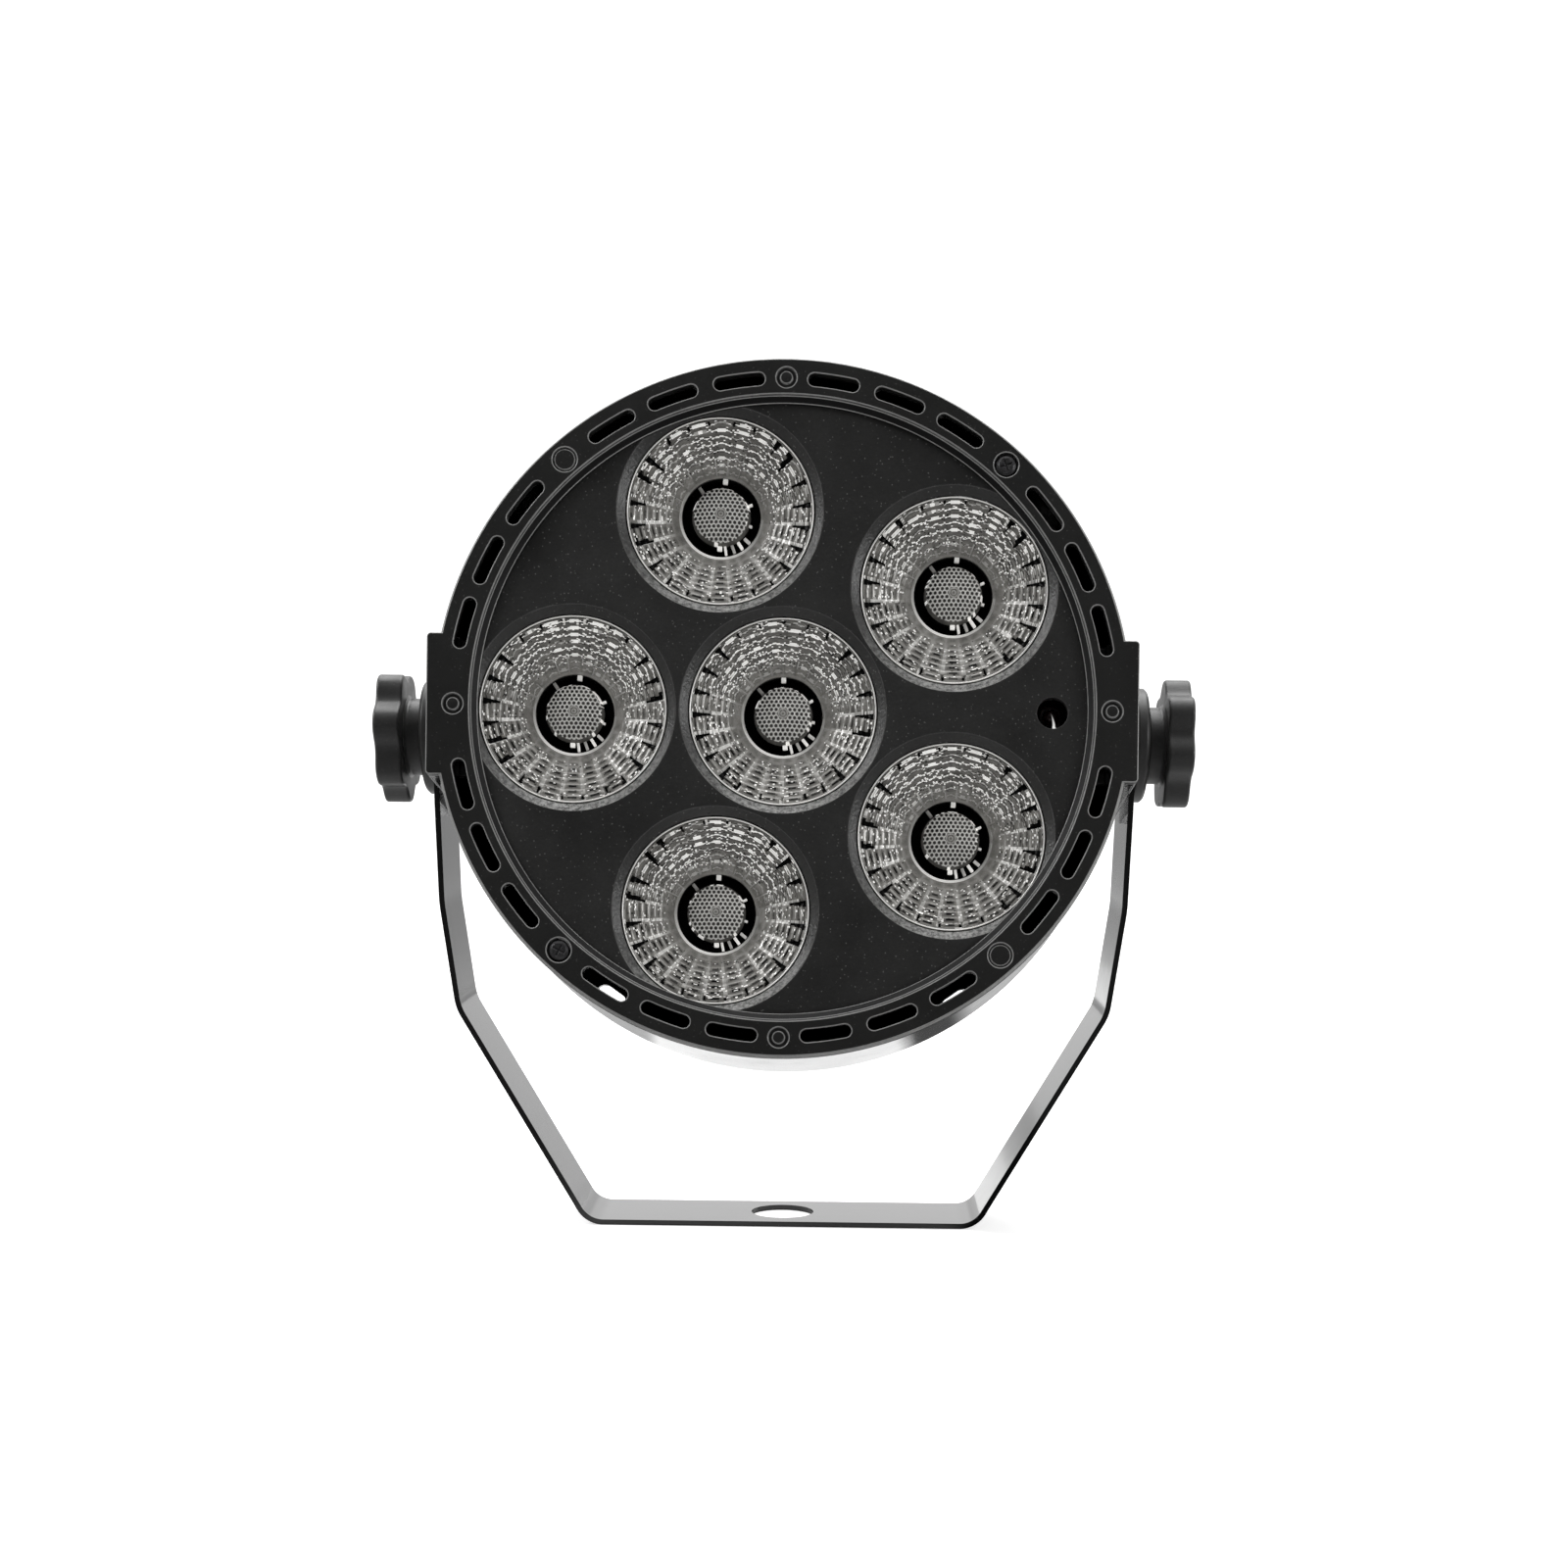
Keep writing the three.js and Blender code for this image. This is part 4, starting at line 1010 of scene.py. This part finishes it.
        def lug(z0, z1, h, x0, x1, bore, bev):
            a, b = sorted((-k * z0, -k * z1))
            pts = rounded([(a, -h, 1.0), (b, -h, 1.0), (b, h, 1.0), (a, h, 1.0)], 5)
            s.add(*turn(plate([pts, circle(bore, 64)], x0, x1, bev, 2), m))
        lug(Z(58), Z(5.3), LUG_H - 0.2, 84.5, 95.6, 5.3, 0.1)
        lug(Z(58), Z(5.3), LUG_H - 0.2, 95.5, LUG_X - 0.2, 12.4, 0.4)
        x0, x1 = sorted((k * 88, k * (LUG_X - 0.2)))
        s.add(*cuboid(x0, x1, -LUG_H + 0.25, LUG_H - 0.25, Z(7.5), Z(3.5), 0.15, 1))
    for a in (48, 132, 228, 312):
        x, y = polar(SCREW_R, a)
        s.add(*lathe([(1.75, 5.3), (3.6, 5.3), (3.6, 30), (1.75, 30)], 20, x, y))
    ob = weighted(mesh_object("rear_shell", s, HEAD, smooth=30))
    finish_piece(ob, "head", ["rear_housing"], "housing_plastic", HOUSING)


build_housing()

# ------------------------------------------------------------------ yoke: one bent flat bar
BAR_T, BAR_W, PIVOT_H = 1.6, 30.0, PIVOT.z / MM
PATH = [(98.4, 15, 0), (98.4, -18, 40), (97.9, -46, 40), (94.0, -76, 14), (57.4, -(PIVOT_H - BAR_T / 2), 8)]


def build_yoke():
    full = PATH + [(-x, z, r) for x, z, r in reversed(PATH)]
    line = [Vector(p) for p in rounded(full, 14, closed=False)]
    at = [0.0]
    for a, b in zip(line, line[1:]):
        at.append(at[-1] + (b - a).length)
    length = at[-1]
    half = BAR_W / 2
    outline = [(half - half * math.sin(math.pi * k / 40), -half * math.cos(math.pi * k / 40)) for k in range(41)]
    outline += [(length - half + half * math.sin(math.pi * k / 40), half * math.cos(math.pi * k / 40)) for k in range(41)]
    loops = [outline, circle(4.4, 40, half, 0), circle(4.4, 40, length - half, 0), circle(9.3, 96, length / 2, 0)]
    verts, faces = plate(loops, -BAR_T / 2, BAR_T / 2, 0.12, 2)
    me = bpy.data.meshes.new("bar")
    me.from_pydata(verts, [], faces)
    bm = bmesh.new()
    bm.from_mesh(me)
    stations = sorted(set([round(a, 3) for a in at[1:-1]] + [round(length * k / 60, 3) for k in range(1, 60)]))
    for st in stations:
        bmesh.ops.bisect_plane(bm, geom=bm.verts[:] + bm.edges[:] + bm.faces[:], plane_co=(st, 0, 0), plane_no=(1, 0, 0), dist=1e-4)
    seg_t = [(b - a).normalized() for a, b in zip(line, line[1:])]

    def frame_at(sv):
        i = 0
        while i < len(at) - 2 and at[i + 1] < sv:
            i += 1
        f = (sv - at[i]) / max(1e-9, at[i + 1] - at[i])
        p = line[i].lerp(line[i + 1], f)
        t0 = (seg_t[i - 1] + seg_t[i]).normalized() if i > 0 else seg_t[i]
        t1 = (seg_t[i] + seg_t[i + 1]).normalized() if i + 1 < len(seg_t) else seg_t[i]
        tan = t0.lerp(t1, f).normalized()
        return p, Vector((-tan.y, tan.x))
    for v in bm.verts:
        p, n = frame_at(v.co.x)
        v.co = Vector((p.x + n.x * v.co.z, p.y + n.y * v.co.z, v.co.y))
    bm.verts.index_update()
    s = Shape()
    s.add([tuple(v.co) for v in bm.verts], [tuple(v.index for v in f.verts) for f in bm.faces])
    bm.free()
    bpy.data.meshes.remove(me)
    ob = weighted(mesh_object("yoke_bar", s, YOKE, smooth=40))
    finish_piece(ob, "yoke", ["yoke_bracket"], "yoke_paint", YOKE_PAINT)


build_yoke()

# ------------------------------------------------------------------ pivot hardware
def side_matrix(k):
    """Takes z to outward along x on that side, keeping the head frame."""
    return HEAD @ Matrix.Rotation(k * math.pi / 2, 4, "Y")


for side, k in (("left", -1), ("right", 1)):
    M = side_matrix(k)
    flat = lambda d: d
    s = Shape()
    s.add(*lathe(rounded([(4.25, 99.5), (15.6, 99.5, 0.3), (16, 100.1, 0.3), (16, 102.3, 0.6), (15.2, 103.1, 0.4), (11.6, 103.1), (11.2, 102.8), (4.25, 102.8)], 4), 96, z_of=flat))
    finish_piece(weighted(mesh_object(f"clamp_disc_{side}", s, M)), f"{side}_clamp", [f"clamp_washer_{side}"], "knob_plastic", KNOB)
    s = Shape()
    n = 7 * 26
    outline = []
    for i in range(n):
        w = 2 * math.pi * i / n
        r = 18.4 - 2.6 * ((1 - math.cos(7 * w)) / 2) ** 1.3
        outline.append((r * math.cos(w), r * math.sin(w)))
    s.add(*plate([outline, circle(11, 72)], 108.2, 115.6, 0.8, 4))
    s.add(*lathe(rounded([(0, 112.0), (11.15, 112.0), (11.15, 114.7), (9.6, 114.7, 0.4), (9.2, 114.3, 0.3), (0, 114.3)], 4, closed=False), 72, z_of=flat))
    s.add(*lathe(rounded([(4.25, 103.4), (10.2, 103.4, 0.3), (10.75, 104.0, 0.4), (10.75, 107.4, 0.7), (11.9, 108.6), (11.4, 112.0), (4.25, 112.0)], 5), 72, z_of=flat))
    finish_piece(weighted(mesh_object(f"clamp_knob_{side}", s, M)), f"{side}_knob", [f"knob_{side}"], "knob_plastic", KNOB)
    s = Shape()
    pts = [(0, 86.6), (3.3, 86.6), (3.9, 87.2)]
    z = 87.2
    while z < 96.0:
        pts += [(3.9, z + 0.3), (3.42, z + 0.7), (3.9, z + 1.1)]
        z += 1.25
    pts += [(3.9, 111.5), (0, 111.5)]
    s.add(*lathe(pts, 40, z_of=flat, closed=False))
    finish_piece(weighted(mesh_object(f"clamp_bolt_{side}", s, M)), f"{side}_knob", [f"clamp_stud_{side}"], "bright_steel", STEEL)
    s = Shape()
    s.add(*lathe(rounded([(4.25, 95.9), (12, 95.9, 0.3), (12, 97.2, 0.3), (4.25, 97.2)], 3), 72, z_of=flat))
    finish_piece(weighted(mesh_object(f"friction_ring_{side}", s, M)), "head", [f"friction_washer_{side}"], "rubber", RUBBER)
    s = Shape()
    s.add(*lathe(rounded([(4.25, 86.3), (5.0, 86.3, 0.2), (5.0, 95.3, 0.2), (4.25, 95.3)], 3), 48, z_of=flat))
    finish_piece(weighted(mesh_object(f"insert_sleeve_{side}", s, M)), "head", [f"thread_insert_{side}"], "brass", BRASS)

# ------------------------------------------------------------------ back of the head
INLET_Y, XLR = -35, (26, -2)
s = Shape()
loops = [circle(56.9, 160), circle(12.1, 56, XLR[0], XLR[1]), circle(12.1, 56, -XLR[0], XLR[1]), rect(27.8, 29.2, 0.6, 0, INLET_Y), rect(34, 16, 0.5, 0, 36)]
loops += [circle(3.9, 32, x, 19) for x in (-21, -7, 7, 21)] + [circle(1.8, 24, *polar(54.4, a)) for a in (30, 150, 210, 330)]
s.add(*plate(loops, Z(72.2), Z(70.6), 0.22, 2))
finish_piece(weighted(mesh_object("rear_plate", s, HEAD)), "head", ["rear_panel"], "panel_paint", SHEET)
for i, (a, spin) in enumerate(((30, 12), (150, 55), (210, 80), (330, 33))):
    x, y = polar(54.4, a)
    screw(f"rear_screw_{i + 1}", f"panel_screw_{i + 1}", x, y, 2.6, 74.0, 72.5, 60, 1.4, spin, ZINC, "zinc")
for label, x in (("menu", 21), ("down", 7), ("up", -7), ("enter", -21)):
    s = Shape()
    s.add(*lathe(rounded([(0, 68.6), (4.6, 68.6, 0.2), (4.6, 69.6, 0.2), (3.5, 69.6, 0.2), (3.5, 74.1, 0.5), (2.6, 74.1), (2.0, 73.85, 0.6), (0, 73.75)], 4, closed=False), 40, x, 19))
    finish_piece(weighted(mesh_object(f"push_{label}", s, HEAD)), f"{label}_button", [f"button_{label}"], "knob_plastic", KNOB)


def connector(name, node, x, y, bore, male):
    s = Shape()
    if male:
        hole = circle(bore, 56, x, y)
    else:
        hole = []
        for i in range(72):
            w = 2 * math.pi * i / 72
            px, py = bore * math.cos(w), bore * math.sin(w)
            if abs(px) < 3.6 and py > 0:
                continue
            hole.append((x + px, y + py))
            if py > 0 and px >= 3.6 and bore * math.cos(2 * math.pi * (i + 1) / 72) < 3.6:
                hole += [(x + 3.6, y + 8.2), (x + 3.6, y + 11.6), (x - 3.6, y + 11.6), (x - 3.6, y + 8.2)]
    s.add(*plate([rect(26, 31, 2.5, x, y, 6), hole], Z(74.5), Z(72.5), 0.4, 3))
    s.add(*lathe(rounded([(11.6, 72.9), (11.6, 52.0, 0.6), (0, 52.0), (0, 62.0), (bore - 0.05, 62.0), (bore - 0.05, 72.9)], 4, closed=False), 72, x, y))
    if male:
        for a in (90, 210, 330):
            px, py = x + 3.9 * math.cos(math.radians(a)), y + 3.9 * math.sin(math.radians(a))
            s.add(*lathe([(1.15, 61), (1.15, 71.6), (0.95, 72.15), (0.5, 72.45), (0, 72.5), (0, 61)], 24, px, py))
    else:
        pins = [circle(1.35, 24, x + 3.9 * math.cos(math.radians(a)), y + 3.9 * math.sin(math.radians(a))) for a in (90, 210, 330)]
        s.add(*plate([circle(7.4, 64, x, y)] + pins, Z(74.2), Z(64), 0.35, 2), 1)
        s.add(*lathe([(0, 63.6), (7.3, 63.6), (7.3, 64.2), (0, 64.2)], 48, x, y, closed=False), 1)
    ob = weighted(mesh_object(name, s, HEAD))
    finish_piece(ob, "head", [node], "zinc", ZINC, HOLDER)


connector("socket_shell", "signal_socket", -XLR[0], XLR[1], 8.8, False)
connector("plug_shell", "signal_plug", XLR[0], XLR[1], 9.3, True)

# ------------------------------------------------------------------ finishes on the pieces that stay as they are
KEEP = {"lens_holder": HOLDER, "led_board": WHITE_BOARD, "led_": PHOSPHOR, "heat_sink": ALU, "fan_frame": HOLDER, "fan_rotor": HOLDER,
        "power_supply_board": GREEN_BOARD, "control_board": GREEN_BOARD, "display": WINDOW, "mains_inlet": HOLDER, "fuse_drawer": KNOB, "socket_latch": STEEL}
for name, ob in frame["nodes"].items():
    if ob.hide_render:
        continue
    key = max((k for k in KEEP if name.startswith(k)), key=len, default=None)
    ob.data.materials.clear()
    ob.data.materials.append(KEEP[key] if key else HOLDER)

# ------------------------------------------------------------------ studio
bpy.ops.mesh.primitive_plane_add(size=12, location=(0, 0, 0))
floor = bpy.context.object
floor.name = "studio_floor"
t = Tree("studio_floor_paint")
lp = t.add("ShaderNodeLightPath")
grain = t.noise(30, 3, 0.5)
split = t.add("ShaderNodeSeparateXYZ")
t.put(split.inputs[0], t.coord)
# what glossy rays see of the floor: darker far left, a dark strip right of centre, darker towards the front; a painted
# reflection pattern for the glossy housing
across = t.math("ADD", split.outputs[0], t.math("MULTIPLY", t.math("SUBTRACT", t.noise(24, 4, 0.7), 0.5), 0.02))
far_left = t.ramp(across, -0.070, -0.064, 0.46, 1.0)
gap_right = t.math("MULTIPLY", t.ramp(across, 0.050, 0.060, 1.0, 0.06), t.ramp(across, 0.080, 0.095, 1.0, 8.0))
sheen = t.math("MULTIPLY", t.math("MULTIPLY", far_left, gap_right), t.ramp(split.outputs[1], -0.14, -0.02, 0.25, 1.0))
seen = t.add("ShaderNodeCombineXYZ")
for k in range(3):
    t.put(seen.inputs[k], t.math("MULTIPLY", sheen, 0.98))
bounce = t.mix(lp.outputs["Is Glossy Ray"], (0.58, 0.58, 0.58), seen.outputs[0])
paper = t.principled(base=t.mix(lp.outputs["Is Camera Ray"], bounce, t.mix(t.ramp(grain, 0.3, 0.7, 0, 1), (0.86, 0.86, 0.86), (0.84, 0.84, 0.84))), rough=0.85, spec=0.1, emit=(1, 1, 1), emit_power=t.math("MULTIPLY", lp.outputs["Is Camera Ray"], 0.62))
floor.data.materials.append(t.out(paper))

world = bpy.data.worlds.new("studio")
bpy.context.scene.world = world
world.use_nodes = True
nt = world.node_tree
nt.nodes.clear()


def wnode(kind, **kw):
    n = nt.nodes.new(kind)
    for k, v in kw.items():
        setattr(n, k, v)
    return n


geo = wnode("ShaderNodeTexCoord")
sep = wnode("ShaderNodeSeparateXYZ")
nt.links.new(geo.outputs["Generated"], sep.inputs[0])


def wmap(sock, a, b, lo, hi):
    n = wnode("ShaderNodeMapRange")
    n.interpolation_type = "SMOOTHSTEP"
    nt.links.new(sock, n.inputs["Value"])
    for s_, v_ in zip(("From Min", "From Max", "To Min", "To Max"), (a, b, lo, hi)):
        n.inputs[s_].default_value = v_
    return n.outputs[0]


def wmath(op, a, b):
    n = wnode("ShaderNodeMath", operation=op)
    for s_, v_ in zip(n.inputs, (a, b)):
        if isinstance(v_, bpy.types.NodeSocket):
            nt.links.new(v_, s_)
        else:
            s_.default_value = v_
    return n.outputs[0]


# bright behind and overhead, dim on the camera's side
behind = wmap(sep.outputs["Y"], -0.30, 0.45, 0.045, 1.15)
over = wmap(sep.outputs["Z"], 0.60, 1.0, 0.0, 0.55)
sides = wmap(wmath("ABSOLUTE", sep.outputs["X"], 0.0), 0.60, 1.0, 0.0, 0.45)
flank = wmap(wmath("ABSOLUTE", sep.outputs["X"], 0.0), 0.11, 0.17, 0.0, 1.0)
low = wmap(sep.outputs["Z"], 0.12, 0.34, 1.0, 0.0)
dip = wmath("SUBTRACT", 1.0, wmath("MULTIPLY", wmath("MULTIPLY", flank, low), 0.25))
total = wmath("MULTIPLY", wmath("ADD", behind, wmath("ADD", over, sides)), dip)
path = wnode("ShaderNodeLightPath")
strength = wnode("ShaderNodeMix", data_type="FLOAT")
nt.links.new(path.outputs["Is Camera Ray"], strength.inputs[0])
nt.links.new(total, strength.inputs[2])
strength.inputs[3].default_value = 1.3
bg = wnode("ShaderNodeBackground")
bg.inputs["Color"].default_value = (1, 1, 1, 1)
nt.links.new(strength.outputs[0], bg.inputs["Strength"])
wo = wnode("ShaderNodeOutputWorld")
nt.links.new(bg.outputs[0], wo.inputs["Surface"])


def area(name, loc, target, size, power, size_y=None, spread=math.pi):
    li = bpy.data.lights.new(name, "AREA")
    li.energy, li.size, li.spread = power, size, spread
    if size_y:
        li.shape, li.size_y = "RECTANGLE", size_y
    ob = bpy.data.objects.new(name, li)
    bpy.context.scene.collection.objects.link(ob)
    ob.location = loc
    ob.rotation_euler = (Vector(target) - Vector(loc)).to_track_quat("-Z", "Y").to_euler()
    return ob


lo, hi = cad_box
mid = (Vector(lo) + Vector(hi)) / 2
area("key_softbox", mid + Vector((-0.95, -0.25, 0.85)), mid, 0.45, 5)
area("top_softbox", mid + Vector((0.05, 0.38, 1.1)), mid, 1.0, 9.5)
area("right_fill", mid + Vector((1.05, -0.42, 0.35)), mid + Vector((0.11, 0, 0)), 0.35, 3.2)

# ------------------------------------------------------------------ camera: square to the face, below it, with a raised lens
cam = bpy.data.cameras.new("camera")
camera = bpy.data.objects.new("camera", cam)
bpy.context.scene.collection.objects.link(camera)
cam.sensor_width, cam.lens = 36.0, 36.0 * 2297 / 1600
cam.clip_start, cam.clip_end = 0.02, 50
roll = math.radians(0.702)
face_centre = PIVOT + FRONT * FACE * MM
right = RIGHT * math.cos(roll) + UP * math.sin(roll)
up = UP * math.cos(roll) - RIGHT * math.sin(roll)
place = face_centre + FRONT * 0.6096 + RIGHT * 0.01587 - UP * 0.15239
m = Matrix.Identity(4)
for i in range(3):
    m[i][0], m[i][1], m[i][2], m[i][3] = right[i], up[i], FRONT[i], place[i]
camera.matrix_world = m
bpy.context.scene.camera = camera
for prop, value in (("shift_x", (800 - 851.2) / 1600), ("shift_y", (1296.6 - 800) / 1600)):
    setattr(cam, prop, value)
    # the raised lens belongs to this one viewpoint: it drops to nothing when the camera is moved
    d = cam.driver_add(prop).driver
    d.type = "SCRIPTED"
    for nm, ch in (("x", "LOC_X"), ("y", "LOC_Y")):
        v = d.variables.new()
        v.name, v.type = nm, "TRANSFORMS"
        v.targets[0].id, v.targets[0].transform_type, v.targets[0].transform_space = camera, ch, "WORLD_SPACE"
    d.expression = f"{value:.5f} if abs(x - {place.x:.5f}) + abs(y - {place.y:.5f}) < 0.001 else 0"

sc = bpy.context.scene
sc.view_settings.view_transform = "Standard"
sc.view_settings.look = "None"
sc.view_settings.exposure = 0.0
sc.cycles.use_denoising = True
sc.cycles.max_bounces = 8
sc.cycles.glossy_bounces = 4
sc.cycles.sample_clamp_indirect = 4.0
